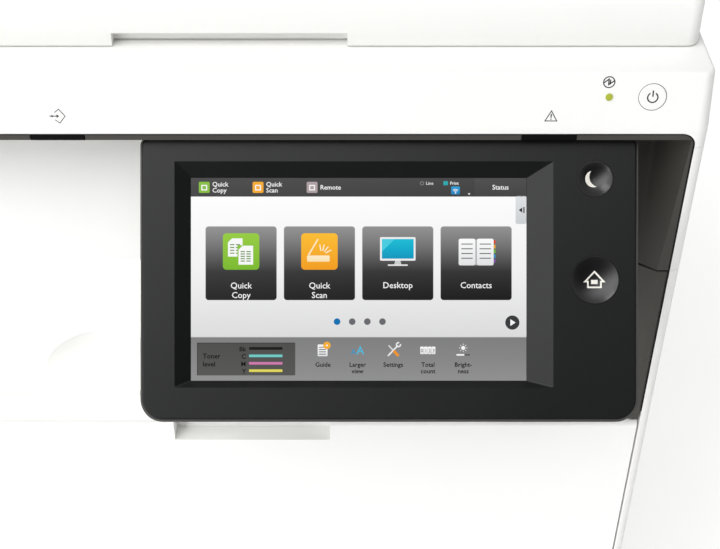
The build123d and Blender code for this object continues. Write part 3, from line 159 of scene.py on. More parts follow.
class Finish(Graph):
    """A material in the making."""

    def __init__(self, name, **settings):
        self.material = bpy.data.materials.new(name)
        self.material.use_nodes = True
        super().__init__(self.material.node_tree)
        self.shader = self.tree.nodes["Principled BSDF"]
        for key, value in settings.items():
            self.shader.inputs[key.replace("_", " ").title().replace("Ior", "IOR")].default_value = value

    def set(self, socket, value):
        """Links or sets one socket of the Principled shader."""
        self.feed(self.shader.inputs[socket], value)
        return self

    def place(self):
        """Where a point of the surface is, in metres from the machine's origin."""
        return self.node("ShaderNodeTexCoord", output="Object")

    def noise(self, size, detail=2.0, stretch=(1, 1, 1)):
        """Soft random blotches of about one size, in metres, between 0 and 1."""
        per_metre = [s / size for s in stretch]
        return self.node("ShaderNodeTexNoise", {}, {
            "Vector": self.place().scaled(per_metre), "Scale": 1.0, "Detail": detail}, "Fac")

    def cells(self, size):
        """Distance to the nearest of many scattered points, in steps of one size."""
        return self.node("ShaderNodeTexVoronoi", {}, {
            "Vector": self.place().scaled([1 / size] * 3), "Scale": 1.0}, "Distance")

    def mix(self, share, first, second):
        """Two colours mixed by a share."""
        made = self.tree.nodes.new("ShaderNodeMix")
        made.data_type = "RGBA"
        self.feed(made.inputs[0], share)
        self.feed(made.inputs[6], first)
        self.feed(made.inputs[7], second)
        return Value(self, made.outputs[2])

    def bump(self, height, depth, strength=1.0):
        """Raises the surface by a height between 0 and 1 times a depth in metres."""
        return self.set("Normal", self.node("ShaderNodeBump", {}, {
            "Height": height, "Distance": depth, "Strength": strength}, "Normal"))


# %% [markdown]
# ## Moulded plastics
# Office machines are cased in moulded ABS. The mould is etched, so the surface has a fine leathery grain
# that softens reflections, and the plastic's colour is even except where hands and dust have been. One
# function makes every such plastic: it needs a colour, the size and depth of the grain, and how dull it is.


# %% Moulded plastic
def moulded(name, colour, grain=0.0006, depth=0.00003, dull=0.45, wear=0.03, specular=0.5):
    """Etched plastic: Voronoi pits under fine noise, and slow blotches that shift colour and gloss."""
    finish = Finish(name, specular_ior_level=specular)
    blotches = finish.noise(0.09, 3.0)
    darker = tuple(c * (1 - wear) for c in colour[:3]) + (1.0,)
    lighter = tuple(min(c * (1 + wear), 1.0) for c in colour[:3]) + (1.0,)
    finish.set("Base Color", finish.mix(blotches, darker, lighter))
    finish.set("Roughness", dull + 0.08 * (blotches - 0.5) + 0.05 * (finish.noise(0.004) - 0.5))
    pits = finish.cells(grain) * 0.7 + finish.noise(grain * 0.6) * 0.5
    finish.bump(pits, depth)
    return finish.material


plastics = {
    "white_plastic": moulded("white_cover", tone(244, 244, 242), 0.0007, 0.00002, 0.5, 0.006),
    "dark_plastic": moulded("dark_cover", tone(63, 61, 57), 0.0008, 0.00004, 0.5, 0.03, 0.3),
    "panel_black": moulded("panel_black", tone(15, 16, 16), 0.0005, 0.00002, 0.32, 0.05, 0.3),
    "panel_grey": moulded("panel_grey", tone(74, 72, 68), 0.0006, 0.00003, 0.5),
    "key_white": moulded("key_white", tone(243, 243, 242), 0.0005, 0.00001, 0.42, 0.004),
    "light_grey_plastic": moulded("light_grey", tone(206, 208, 210), 0.0007, 0.00003, 0.5),
    "tray_grey": moulded("tray_grey", tone(120, 123, 126), 0.0008, 0.00004, 0.55),
    "guide_blue": moulded("guide_blue", tone(64, 122, 170), 0.0007, 0.00003, 0.5),
    "toner_black": moulded("toner_black", tone(40, 41, 43), 0.0006, 0.00002, 0.45),
    "toner_cyan": moulded("toner_cyan", tone(30, 150, 190), 0.0006, 0.00002, 0.45),
    "toner_magenta": moulded("toner_magenta", tone(196, 52, 124), 0.0006, 0.00002, 0.45),
    "toner_yellow": moulded("toner_yellow", tone(232, 200, 60), 0.0006, 0.00002, 0.45),
    "board_green": moulded("board_green", tone(24, 92, 60), 0.0012, 0.00002, 0.35, 0.12),
    "pad_white": moulded("pad_white", tone(245, 245, 243), 0.0004, 0.00002, 0.7, 0.004),
}
print("plastics:", len(plastics))

# %% [markdown]
# ## Rubber, steel, film and glass
# Zinc-coated sheet has a faint crystal pattern. Ground shafts carry fine rings, so their bump runs in bands
# along the shaft. Rubber is dull with a slight bloom. The drum's coat and the belt are smooth tinted films.


# %% Metals and rubber
def zinc_sheet():
    """Zinc-coated steel: pale metal whose crystals, a few millimetres wide, differ in gloss."""
    finish = Finish("zinc_sheet", metallic=1.0)
    crystals = finish.cells(0.006)
    finish.set("Base Color", finish.mix(crystals, tone(168, 171, 174), tone(205, 207, 208)))
    finish.set("Roughness", 0.3 + 0.22 * crystals)
    finish.bump(finish.noise(0.0012, 3.0), 0.00002)
    return finish.material


def ground_shaft():
    """Ground steel: fine rings across the shaft, from noise stretched along X and Z and packed along Y."""
    finish = Finish("ground_shaft", metallic=1.0)
    rings = finish.noise(0.004, 2.0, (0.3, 8.0, 0.3))
    finish.set("Base Color", finish.mix(rings, tone(188, 190, 192), tone(224, 225, 226)))
    finish.set("Roughness", 0.2 + 0.16 * rings)
    finish.bump(rings, 0.00001)
    return finish.material


def rubber(name, colour, dull=0.72):
    """Rubber: dull, with a powdery bloom in slow blotches and a fine tooth."""
    finish = Finish(name, specular_ior_level=0.35)
    bloom = finish.noise(0.02, 4.0)
    finish.set("Base Color", finish.mix(bloom, colour, tuple(c * 1.5 for c in colour[:3]) + (1.0,)))
    finish.set("Roughness", dull + 0.12 * bloom)
    finish.bump(finish.noise(0.0009, 3.0), 0.00005)
    return finish.material


def smooth_film(name, colour, dull):
    """A smooth tinted coat with a few faint streaks along the rollers' length."""
    finish = Finish(name, coat_weight=0.5, coat_roughness=0.08)
    streaks = finish.noise(0.006, 3.0, (1.0, 0.05, 1.0))
    finish.set("Base Color", finish.mix(streaks, colour, tuple(c * 1.25 for c in colour[:3]) + (1.0,)))
    finish.set("Roughness", dull + 0.1 * streaks)
    return finish.material


def clear_glass():
    """Float glass: almost clear, faintly green, with a trace of dust in its gloss."""
    finish = Finish("clear_glass", base_color=tone(214, 232, 224), alpha=0.22, ior=1.5)
    finish.set("Roughness", 0.02 + 0.05 * finish.noise(0.03, 4.0).step(0.5, 0.8))
    return finish.material


def display_glass():
    """The display's own glass, black behind, with a faint smear in its gloss."""
    finish = Finish("display_glass", base_color=tone(14, 15, 17), ior=1.5)
    finish.set("Roughness", 0.12 + 0.06 * finish.noise(0.03, 3.0))
    return finish.material


def glossy_key():
    """Semi-gloss black plastic of the dished keys."""
    finish = Finish("glossy_key", base_color=tone(9, 9, 10), coat_weight=0.3, coat_roughness=0.16)
    finish.set("Roughness", 0.3 + 0.05 * finish.noise(0.003))
    finish.bump(finish.noise(0.0008), 0.000004)
    return finish.material


def smoked_lens():
    """Smoked lens of the lamps in the lip: glossy, nearly black."""
    finish = Finish("smoked_lens", base_color=tone(8, 8, 8), specular_ior_level=0.06)
    finish.set("Roughness", 0.5 + 0.05 * finish.noise(0.01))
    return finish.material


others = {
    "sheet_steel": zinc_sheet(),
    "polished_steel": ground_shaft(),
    "foot_rubber": rubber("foot_rubber", tone(38, 38, 38)),
    "roller_rubber": rubber("roller_rubber", tone(72, 72, 76), 0.6),
    "drum_coat": smooth_film("drum_coat", tone(38, 104, 120), 0.16),
    "belt_film": smooth_film("belt_film", tone(34, 34, 37), 0.22),
    "platen_glass": clear_glass(),
    "display_glass": display_glass(),
    "key_black": glossy_key(),
    "lamp_black": smoked_lens(),
}
finishes = {**plastics, **others}
print("finishes:", len(finishes))

# %% Give every design part its finish
slot_of = {row["node"]: row["material_slot"] for row in frame["record"]["subparts"]}
for node, thing in frame["nodes"].items():
    thing.data.materials.clear()
    thing.data.materials.append(finishes[slot_of[node]])
print("parts finished:", len(slot_of))

# %% [markdown]
# ## Places to work from
# Flat prints need a drawing board: a point, two directions to draw along, and the direction that faces the
# viewer. The board's place is measured on the design parts, so the drawing lands on the real surface.


# %% Drawing boards
def points_of(node):
    """The corners of a design part's mesh, one row each."""
    mesh = frame["nodes"][node].data
    flat = np.empty(len(mesh.vertices) * 3)
    mesh.vertices.foreach_get("co", flat)
    return flat.reshape(-1, 3)


class Board:
    """A flat drawing surface in space: origin, across, up and out, all in the machine's frame."""

    def __init__(self, origin, across, up):
        self.origin = np.array(origin, float)
        self.across = np.array(across, float)
        self.up = np.array(up, float)
        self.out = np.cross(self.across, self.up)

    def at(self, x, y, lift=0.0):
        """Points at x across, y up and a lift off the board, from arrays or numbers."""
        x, y, lift = np.broadcast_arrays(np.asarray(x, float), y, lift)
        return (self.origin + x[..., None] * self.across + y[..., None] * self.up
                + lift[..., None] * self.out)

    def measure(self, points):
        """Points in space as (across, up, out) from the board."""
        return (points - self.origin) @ np.array([self.across, self.up, self.out]).T


panel_tilt = radians(40.0)
panel_up = (0, sin(panel_tilt), cos(panel_tilt))
loose_board = Board((0, 0, 0), (1, 0, 0), panel_up)


def front_face(node, board, tolerance=0.0002):
    """The corners of a part that lie furthest out from a board, measured on it."""
    measured = board.measure(points_of(node))
    return measured[measured[:, 2] > measured[:, 2].max() - tolerance]


window = front_face("touch_screen", loose_board)
window_low, window_high = window.min(0), window.max(0)
screen = Board(loose_board.at(window_low[0], window_low[1], window_high[2]), (1, 0, 0), panel_up)
screen_width, screen_height = (window_high - window_low)[:2]
face = front_face("panel_front", loose_board)
shell = loose_board.measure(points_of("panel_front"))
panel = Board(loose_board.at(shell[:, 0].min(), shell[:, 1].min(), face[:, 2].max()), (1, 0, 0), panel_up)
panel_width, panel_height = (shell.max(0) - shell.min(0))[:2]
print("display window, mm:", np.round([screen_width / MM, screen_height / MM], 1))
print("panel, mm:", np.round([panel_width / MM, panel_height / MM], 1))

# %% [markdown]
# ## Camera
# The camera faces the touch panel square on, from a little over 0.8 m, as a person standing at the machine
# sees it. Its lens is slightly long, so the ledge and the side narrow only a little.

# %% Camera
aim = panel.at(0.1407, 0.0940)
camera_distance = 0.8326
camera_data = bpy.data.cameras.new("camera")
camera_data.lens = 64.65
camera_data.sensor_width = 36.0
camera = bpy.data.objects.new("camera", camera_data)
camera.location = aim + camera_distance * panel.out
camera.rotation_euler = (pi / 2 - panel_tilt, 0, 0)
bpy.context.scene.collection.objects.link(camera)
bpy.context.scene.camera = camera
print("camera at", np.round(camera.location, 4))

# %% [markdown]
# ## Flat prints
# Icons, symbols and the picture on the display are all flat drawings. Each drawing is one thin mesh with a
# colour stored at its corners, so a single material can show them all, and edges stay sharp at any
# distance, which an image would not. Shapes that lie on one another are lifted by a few hundredths of a
# millimetre.


# %% A flat drawing
class Drawing:
    """Flat coloured shapes on a board, in millimetres, gathered into one mesh."""

    layer = 0.02 * MM

    def __init__(self, board, lift=0.03 * MM):
        self.board = board
        self.lift = lift
        self.corners, self.colours, self.faces = [], [], []
        self.count = 0

    def add(self, x, y, colours, faces, level):
        """Adds corners at x and y in millimetres, a colour for each, and faces that count from 0."""
        x, y = np.ravel(x), np.ravel(y)
        self.corners.append(self.board.at(x * MM, y * MM, self.lift + level * self.layer))
        self.colours.append(np.broadcast_to(np.asarray(colours, float), (len(x), 4)))
        self.faces += [[self.count + i for i in face] for face in faces]
        self.count += len(x)

    def shape(self, x, y, colour, level=1):
        """One flat shape from its outline, anticlockwise."""
        self.add(x, y, tone(*colour), [range(len(np.ravel(x)))], level)

    def card(self, x, y, width, height, stops, corner=0.0, level=1, rows=6):
        """A rectangle with round corners, from its lower left, shaded from bottom to top through colours.
        Each row is drawn in at both ends by what a circle of the corner radius leaves at that height."""
        corner = min(corner, width / 2, height / 2)
        turn = np.linspace(0, pi / 2, rows) if corner else np.zeros(1)
        low = corner * (1 - np.cos(turn))
        side = corner * (1 - np.sin(turn))
        if corner:
            middle = np.linspace(low[-1], height - low[-1], 9)[1:-1]
            heights = np.concatenate([low, middle, height - low[::-1]])
            sides = np.concatenate([side, 0 * middle, side[::-1]])
        else:
            heights = np.linspace(0, height, 9)
            sides = 0 * heights
        xs = np.stack([x + sides, x + width - sides], 1)
        ys = np.stack([y + heights] * 2, 1)
        places = np.linspace(0, 1, len(stops)) if len(stops) > 1 else np.zeros(1)
        linear = np.array([tone(*s) for s in stops])
        shade = np.stack([np.interp(heights / height, places, linear[:, k]) for k in range(4)], 1)
        faces = [[2 * i, 2 * i + 1, 2 * i + 3, 2 * i + 2] for i in range(len(heights) - 1)]
        self.add(xs, ys, np.repeat(shade, 2, 0), faces, level)

    def disc(self, x, y, radius, colour, level=1, sides=40):
        """A filled circle."""
        turn = np.linspace(0, tau, sides, endpoint=False)
        self.shape(x + radius * np.cos(turn), y + radius * np.sin(turn), colour, level)

    def line(self, points, width, colour, level=1, closed=False):
        """A stroke of even width along a path: each corner is set off along the mitre of its two runs."""
        path = np.array(points, float)
        ahead = np.roll(path, -1, 0) - path
        if not closed:
            ahead[-1] = ahead[-2]
        ahead /= np.linalg.norm(ahead, axis=1)[:, None]
        behind = np.roll(ahead, 1, 0)
        if not closed:
            behind[0] = ahead[0]
        middle = ahead + behind
        middle /= np.linalg.norm(middle, axis=1)[:, None]
        normal = np.stack([-middle[:, 1], middle[:, 0]], 1)
        reach = (width / 2) / np.maximum((middle * ahead).sum(1), 0.35)
        left, right = path + normal * reach[:, None], path - normal * reach[:, None]
        both = np.stack([left, right], 1).reshape(-1, 2)
        n = len(path)
        last = n if closed else n - 1
        faces = [[2 * i + 1, 2 * ((i + 1) % n) + 1, 2 * ((i + 1) % n), 2 * i] for i in range(last)]
        self.add(both[:, 0], both[:, 1], tone(*colour), faces, level)

    def ring(self, x, y, radius, width, colour, level=1, start=0.0, end=tau, sides=48):
        """A circle or an arc drawn as a stroke."""
        closed = end - start > tau - 0.01
        turn = np.linspace(start, end, sides, endpoint=not closed)
        rim = np.stack([x + radius * np.cos(turn), y + radius * np.sin(turn)], 1)
        self.line(rim, width, colour, level, closed)

    def words(self, text, x, y, size, colour, level=1, align="CENTER", bold=0.0):
        """A line of plain lettering, its baseline at y."""
        curve = bpy.data.curves.new("words", "FONT")
        curve.body, curve.size, curve.align_x, curve.resolution_u = text, size, align, 2
        curve.offset = bold
        holder = bpy.data.objects.new("words", curve)
        bpy.context.scene.collection.objects.link(holder)
        bpy.context.view_layer.update()
        mesh = bpy.data.meshes.new_from_object(holder.evaluated_get(bpy.context.evaluated_depsgraph_get()))
        flat = np.empty(len(mesh.vertices) * 3)
        mesh.vertices.foreach_get("co", flat)
        flat = flat.reshape(-1, 3)
        faces = [list(p.vertices) for p in mesh.polygons]
        self.add(flat[:, 0] + x, flat[:, 1] + y, tone(*colour), faces, level)
        bpy.data.objects.remove(holder)
        bpy.data.curves.remove(curve)
        bpy.data.meshes.remove(mesh)

    def made(self, name, body, finish):
        """The finished mesh, with the colours at its corners as the attribute ink."""
        thing = surface(name, np.concatenate(self.corners), self.faces, finish)
        ink = thing.data.color_attributes.new("ink", "FLOAT_COLOR", "POINT")
        ink.data.foreach_set("color", np.concatenate(self.colours).astype(np.float32).ravel())
        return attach(thing, body)


def surface(name, corners, faces, finish, smooth=False):
    """A mesh object from an array of corners and a list of faces."""
    mesh = bpy.data.meshes.new(name)
    mesh.from_pydata(np.asarray(corners).tolist(), [], faces)
    mesh.materials.append(finish)
    if smooth:
        mesh.polygons.foreach_set("use_smooth", np.ones(len(mesh.polygons), bool))
    mesh.update()
    thing = bpy.data.objects.new(name, mesh)
    bpy.context.scene.collection.objects.link(thing)
    return thing


def printed_ink():
    """Printed ink: the drawing's own colours, matt, with the slight mottle of a screen print. The same
    finish also carries flat painted shadows: the ring round the power key and the socket openings.
    """
    finish = Finish("printed_ink", specular_ior_level=0.2)
    ink = finish.node("ShaderNodeAttribute", {"attribute_name": "ink"}, output="Color")
    finish.set("Base Color", ink)
    finish.set("Roughness", 0.5 + 0.1 * finish.noise(0.001))
    return finish.material


def lit_picture():
    """The display's picture: the drawing's colours as light, under slightly glossy glass."""
    finish = Finish("lit_picture", base_color=(0, 0, 0, 1), emission_strength=0.97, specular_ior_level=0.12)
    ink = finish.node("ShaderNodeAttribute", {"attribute_name": "ink"}, output="Color")
    finish.set("Emission Color", ink)
    finish.set("Roughness", 0.14 + 0.05 * finish.noise(0.02))
    return finish.material


print_and_shade_finish, picture_finish = printed_ink(), lit_picture()

# %% [markdown]
# ## The display's picture
# The home screen is a dark bar at the top, a white middle with four large tiles, a row of dots, and a grey
# bar at the bottom with the toner gauge and five small tools. The words are plain ones that any such
# machine could show. Lengths are in millimetres from the display's lower left corner.

# %% Display picture: bars and tiles
WIDE, TALL = screen_width / MM, screen_height / MM
TOP_BAR, BOTTOM_BAR = 12.0, 28.3
TILE_WIDE, TILE_TALL, TILE_STEP = 46.1, 47.8, 50.7
TILE_LEFT, TILE_LOW = 9.4, 52.1
picture = Drawing(screen)
picture.card(0, 0, WIDE, TALL, [(0, 0, 0)], level=0)
picture.card(0, BOTTOM_BAR, WIDE, TALL - BOTTOM_BAR - TOP_BAR,
             [(222, 222, 223), (244, 244, 244), (255, 255, 255)])
picture.card(0, TALL - TOP_BAR, WIDE, TOP_BAR, [(62, 62, 62), (70, 70, 70)])
picture.card(0, 0, WIDE, BOTTOM_BAR, [(146, 146, 147), (136, 136, 137), (128, 128, 129)])
picture.card(0, BOTTOM_BAR - 0.35, WIDE, 0.35, [(176, 176, 177)], level=2)

tile_middles = [TILE_LEFT + TILE_WIDE / 2 + TILE_STEP * i for i in range(4)]
tile_shades = [(26, 26, 26), (38, 38, 38), (52, 52, 52), (92, 92, 92), (124, 124, 124), (146, 146, 146)]
for x in tile_middles:
    left = x - TILE_WIDE / 2
    picture.card(left, TILE_LOW, TILE_WIDE, TILE_TALL, [(60, 60, 60), (170, 170, 170)], 2.0, 2)
    picture.card(left + 0.3, TILE_LOW + 0.3, TILE_WIDE - 0.6, TILE_TALL - 0.6, tile_shades, 1.8, 3)
print("display picture started,", picture.count, "corners")

# %% [markdown]
# Icons are drawn with the same few strokes and cards: two pages for copying, a scanner with its lid open, a
# monitor, and an open book of addresses.


# %% Display picture: tile icons
INK_WHITE = (250, 250, 250)


def page(x, y, width, height, level, lines, colour=(84, 140, 30)):
    """A sheet with a cut corner and lines of writing, from its lower left."""
    cut = width * 0.28
    picture.shape([x, x + width, x + width, x + cut, x], [y, y, y + height, y + height, y + height - cut],
                  INK_WHITE, level)
    for i in range(lines):
        row = y + height * (0.16 + 0.62 * i / lines)
        for side in range(2):
            left = x + width * (0.14 + 0.4 * side)
            picture.card(left, row, width * 0.3, height * 0.055, [colour], level=level + 1)


def copy_icon(x, y, size):
    """Green square with two pages, one over the other."""
    picture.card(x - size / 2, y - size / 2, size, size, [(122, 186, 38), (150, 205, 60)], size * 0.1, 4)
    page(x - size * 0.36, y - size * 0.14, size * 0.4, size * 0.5, 5, 4)
    picture.card(x - size * 0.1, y - size * 0.38, size * 0.44, size * 0.55, [(136, 196, 50)], level=7)
    page(x - size * 0.07, y - size * 0.36, size * 0.4, size * 0.52, 8, 5)


def scan_icon(x, y, size):
    """Orange square with a flatbed scanner, its lid raised."""
    picture.card(x - size / 2, y - size / 2, size, size, [(244, 158, 18), (253, 190, 44)], size * 0.1, 4)
    s = size
    picture.line([(x - 0.3 * s, y - 0.1 * s), (x - 0.04 * s, y + 0.34 * s)], 0.04 * s, (255, 236, 196), 5)
    for i in range(4):
        turn = radians(28 + 24 * i)
        ray = s * np.array([cos(turn), sin(turn)])
        start = np.array([x + 0.06 * s, y - 0.1 * s])
        picture.line([start + 0.12 * ray, start + 0.3 * ray], 0.03 * s, (255, 240, 208), 5)
    picture.card(x - 0.34 * s, y - 0.28 * s, 0.62 * s, 0.17 * s,
                 [(252, 226, 176), (255, 238, 204)], 0.03 * s, 6)


def monitor_icon(x, y, wide, tall):
    """A monitor with a bright blue picture, on its stand."""
    foot, left = y - tall / 2, x - wide / 2
    picture.card(x - wide * 0.28, foot, wide * 0.56, tall * 0.05, [(235, 235, 236)], 0.3, 4)
    picture.shape(x + wide * np.array([-0.1, 0.1, 0.07, -0.07]),
                  foot + tall * np.array([0.04, 0.04, 0.2, 0.2]), (205, 206, 208), 4)
    picture.card(left, foot + tall * 0.18, wide, tall * 0.82, [(240, 240, 241)], 0.7, 5)
    picture.card(left + 1.2, foot + tall * 0.18 + 1.3, wide - 2.4, tall * 0.82 - 2.5,
                 [(0, 150, 190), (0, 172, 205), (20, 190, 215)], level=6)
    brow = foot + tall - 1.2
    picture.shape([left + 1.2, x - wide * 0.08, x - wide * 0.3, left + 1.2],
                  [foot + tall * 0.5, brow, brow, brow], (70, 205, 225), 7)


def book_icon(x, y, wide, tall):
    """An open book with ruled pages and coloured tabs down its right edge."""
    for side in (-1, 1):
        left = x - wide * 0.46 if side < 0 else x + wide * 0.02
        picture.card(left, y - tall / 2, wide * 0.44, tall * 0.96,
                     [(228, 229, 230), (254, 254, 254)], 1.2, 5)
        for i in range(4):
            row = y - tall * 0.26 + tall * 0.17 * i
            picture.card(left + wide * 0.07, row, wide * 0.3, 0.6, [(84, 85, 88)], level=6)
    picture.card(x - wide * 0.02, y - tall / 2, wide * 0.04, tall * 0.94, [(175, 176, 178)], level=6)
    tabs = [(226, 66, 52), (240, 170, 40), (120, 186, 60), (50, 150, 200), (130, 90, 170)]
    for i, colour in enumerate(tabs):
        low = y + tall * (0.28 - 0.17 * i)
        picture.card(x + wide * 0.45, low, wide * 0.06, tall * 0.13, [colour], 0.2, 4)


ICON_MIDDLE = TILE_LOW + 31.5
copy_icon(tile_middles[0], ICON_MIDDLE, 23.6)
scan_icon(tile_middles[1], ICON_MIDDLE, 23.6)
monitor_icon(tile_middles[2], ICON_MIDDLE, 23.0, 18.6)
book_icon(tile_middles[3], ICON_MIDDLE, 24.6, 18.0)

# %% [markdown]
# The labels use the plain lettering that comes with Blender, made into flat faces. The first two tiles have
# two lines, the others one.

# %% Display picture: labels and dots
LABEL = 5.6
tile_labels = [("Quick", "Copy"), ("Quick", "Scan"), ("Desktop",), ("Contacts",)]
for x, lines in zip(tile_middles, tile_labels):
    for i, text in enumerate(lines):
        low = TILE_LOW + (7.6 if len(lines) == 2 else 7.8) - 6.2 * i
        picture.words(text, x, low, LABEL, INK_WHITE, 5, bold=0.03)

DOT_STEP, DOT_LOW, DOT = 9.8, 38.2, 2.15
for i in range(4):
    colour = (0, 112, 178) if i == 0 else (104, 106, 110)
    picture.disc(WIDE / 2 - 14.0 + DOT_STEP * i, DOT_LOW, DOT, colour, 2)

NEXT_X, NEXT_Y = 208.0, 37.6
picture.disc(NEXT_X, NEXT_Y, 4.6, (58, 59, 61), 2)
picture.shape(NEXT_X + np.array([-1.3, 2.1, -1.3]), NEXT_Y + np.array([-2.2, 0, 2.2]), INK_WHITE, 3)
picture.card(WIDE - 7.0, 101.4, 7.0, 18.2, [(206, 209, 212), (226, 229, 232)], 1.2, 2)
picture.shape(WIDE + np.array([-4.9, -2.7, -2.7]), 110.4 + np.array([0, -1.7, 1.7]), (40, 41, 43), 3)
picture.card(WIDE - 2.0, 108.5, 0.8, 3.9, [(40, 41, 43)], level=3)

# %% [markdown]
# The bars hold smaller things: shortcuts and states at the top, and at the bottom the gauge for the four
# toners and the tools for help, zoom, settings, counts and light.


# %% Display picture: top bar
BAR_MIDDLE = TALL - TOP_BAR / 2
BAR_WHITE = (246, 246, 246)
shortcuts = [(8.6, (134, 190, 60), ("Quick", "Copy")), (43.4, (246, 172, 40), ("Quick", "Scan")),
             (78.4, (176, 160, 164), ("Remote",))]
for x, colour, lines in shortcuts:
    picture.card(x - 3.5, BAR_MIDDLE - 3.6, 7.0, 7.2, [colour], 0.8, 3)
    picture.card(x - 1.9, BAR_MIDDLE - 2.0, 3.8, 3.6, [INK_WHITE], 0.3, 4)
    picture.card(x - 1.2, BAR_MIDDLE - 1.3, 2.4, 2.2, [colour], 0.2, 5)
    for i, text in enumerate(lines):
        low = BAR_MIDDLE + (0.6 if len(lines) == 2 else -1.4) - 3.9 * i
        picture.words(text, x + 5.2, low, 4.2, BAR_WHITE, 3, "LEFT", 0.05)
STATUS_LEFT = 183.5
picture.card(STATUS_LEFT, TALL - TOP_BAR, WIDE - STATUS_LEFT, TOP_BAR,
             [(66, 66, 67), (78, 78, 79)], level=2)
picture.words("Status", (STATUS_LEFT + WIDE) / 2, BAR_MIDDLE - 1.4, 4.4, BAR_WHITE, 3, bold=0.05)
picture.ring(149.5, BAR_MIDDLE + 2.6, 1.1, 0.3, (150, 152, 154), 3)
picture.words("Line", 152.0, BAR_MIDDLE + 1.7, 2.9, (222, 223, 224), 3, "LEFT", 0.04)
picture.card(163.4, BAR_MIDDLE + 1.4, 2.9, 2.6, [(40, 170, 176)], level=3)
picture.words("Print", 167.6, BAR_MIDDLE + 1.7, 2.9, (244, 244, 245), 3, "LEFT", 0.04)
picture.card(168.4, BAR_MIDDLE - 4.6, 5.6, 5.2, [(20, 130, 190), (40, 160, 215)], 0.7, 3)
for r in (0.8, 1.6, 2.4):
    picture.ring(171.2, BAR_MIDDLE - 3.6, r, 0.35, INK_WHITE, 4, pi / 4, 3 * pi / 4, 12)
picture.disc(171.2, BAR_MIDDLE - 3.6, 0.4, INK_WHITE, 4, 12)
picture.shape(180.0 + np.array([0, 0.9, -0.9]), BAR_MIDDLE - 4.2 + np.array([-0.9, 0.4, 0.4]),
              (220, 220, 221), 3)

# %% Display picture: toner gauge
picture.card(3.9, 3.4, 63.6, 21.2, [(86, 86, 84), (76, 76, 74)], 0.6, 3)
picture.card(3.9, 24.2, 63.6, 0.4, [(44, 44, 44)], level=4)
picture.card(3.9, 3.4, 0.4, 21.2, [(52, 52, 52)], level=4)
picture.words("Toner", 7.6, 14.4, 4.5, (5, 5, 6), 4, "LEFT", 0.09)
picture.words("level", 7.6, 9.2, 4.5, (5, 5, 6), 4, "LEFT", 0.09)
gauge = [("Bk", (16, 16, 17)), ("C", (112, 204, 200)), ("M", (208, 122, 174)), ("Y", (228, 216, 92))]
for i, (name, colour) in enumerate(gauge):
    low = 20.0 - 4.8 * i
    picture.words(name, 35.6, low - 1.0, 4.2, (6, 6, 7), 4, "RIGHT", 0.08)
    picture.card(37.6, low - 0.1, 21.6, 1.9, [(58, 58, 57)], 0.2, 4)
    picture.card(37.6, low, 21.6, 1.7, [colour], 0.2, 5)


# %% Display picture: the five tools
def help_tool(x, y):
    """A page of hints with an orange ball over its corner."""
    picture.card(x - 3.4, y - 3.8, 6.4, 7.6, [(226, 227, 228), (252, 252, 252)], 0.4, 3)
    for i in range(4):
        picture.card(x - 2.5, y - 2.7 + 1.5 * i, 4.4, 0.5, [(70, 72, 75)], level=4)
    picture.disc(x + 2.6, y + 3.2, 2.4, (246, 176, 46), 5)
    picture.disc(x + 2.6, y + 3.2, 0.6, INK_WHITE, 6, 12)


def zoom_tool(x, y):
    """A small and a large figure in blue, for a larger picture."""
    picture.words("A", x - 2.6, y - 2.6, 5.0, (40, 150, 200), 3, bold=0.03)
    picture.words("A", x + 1.8, y - 2.6, 7.6, (70, 190, 225), 4, bold=0.03)


def settings_tool(x, y):
    """A screwdriver and a spanner, crossed."""
    picture.line([(x - 3.4, y - 3.6), (x + 3.0, y + 3.2)], 1.0, (236, 237, 238), 3)
    picture.line([(x + 3.4, y - 3.6), (x + 0.2, y - 0.2)], 1.8, (240, 150, 40), 4)
    picture.line([(x + 0.2, y - 0.2), (x - 3.0, y + 3.2)], 0.8, (226, 227, 228), 3)
    picture.ring(x + 3.4, y + 3.7, 1.3, 0.9, (236, 237, 238), 3, 1.2, 6.6, 20)


def count_tool(x, y):
    """A row of counter wheels."""
    for i in range(4):
        left = x - 5.0 + 2.5 * i
        picture.card(left, y - 2.4, 2.3, 4.8, [(236, 236, 237), (255, 255, 255)], 0.3, 3)
        picture.words(str(i), left + 1.15, y - 1.3, 3.4, (50, 51, 53), 4)


def light_tool(x, y):
    """A small sun over a slider."""
    picture.disc(x, y + 1.6, 1.3, INK_WHITE, 3, 20)
    for i in range(8):
        turn = tau * i / 8
        inner, outer = (np.array([cos(turn), sin(turn)]) * r + (x, y + 1.6) for r in (1.9, 2.7))
        picture.line([inner, outer], 0.35, INK_WHITE, 3)
    picture.card(x - 4.4, y - 3.4, 8.8, 1.0, [(90, 91, 93)], 0.4, 3)
    picture.card(x - 4.4, y - 3.4, 5.2, 1.0, [INK_WHITE], 0.4, 4)


tools = [(help_tool, 85.4, ("Guide",)), (zoom_tool, 107.8, ("Larger", "view")),
         (settings_tool, 130.9, ("Settings",)), (count_tool, 153.4, ("Total", "count")),
         (light_tool, 176.2, ("Bright-", "ness"))]
for draw, x, lines in tools:
    draw(x, 19.6)
    for i, text in enumerate(lines):
        picture.words(text, x, 9.0 - 4.2 * i, 4.1, (6, 6, 7), 3, bold=0.07)
display_picture = picture.made("display_picture", "panel", picture_finish)
print("display picture:", picture.count, "corners", len(picture.faces), "faces")

# %% [markdown]
# ## Symbols on the keys
# The upper key puts the machine to sleep and shows a crescent moon, the lower one returns to the home
# screen and shows a house. Both keys are dished like a shallow bowl to guide a fingertip, so the board for
# their symbols is a bowl too: each corner of a drawing is lifted to the bowl's height at its place.


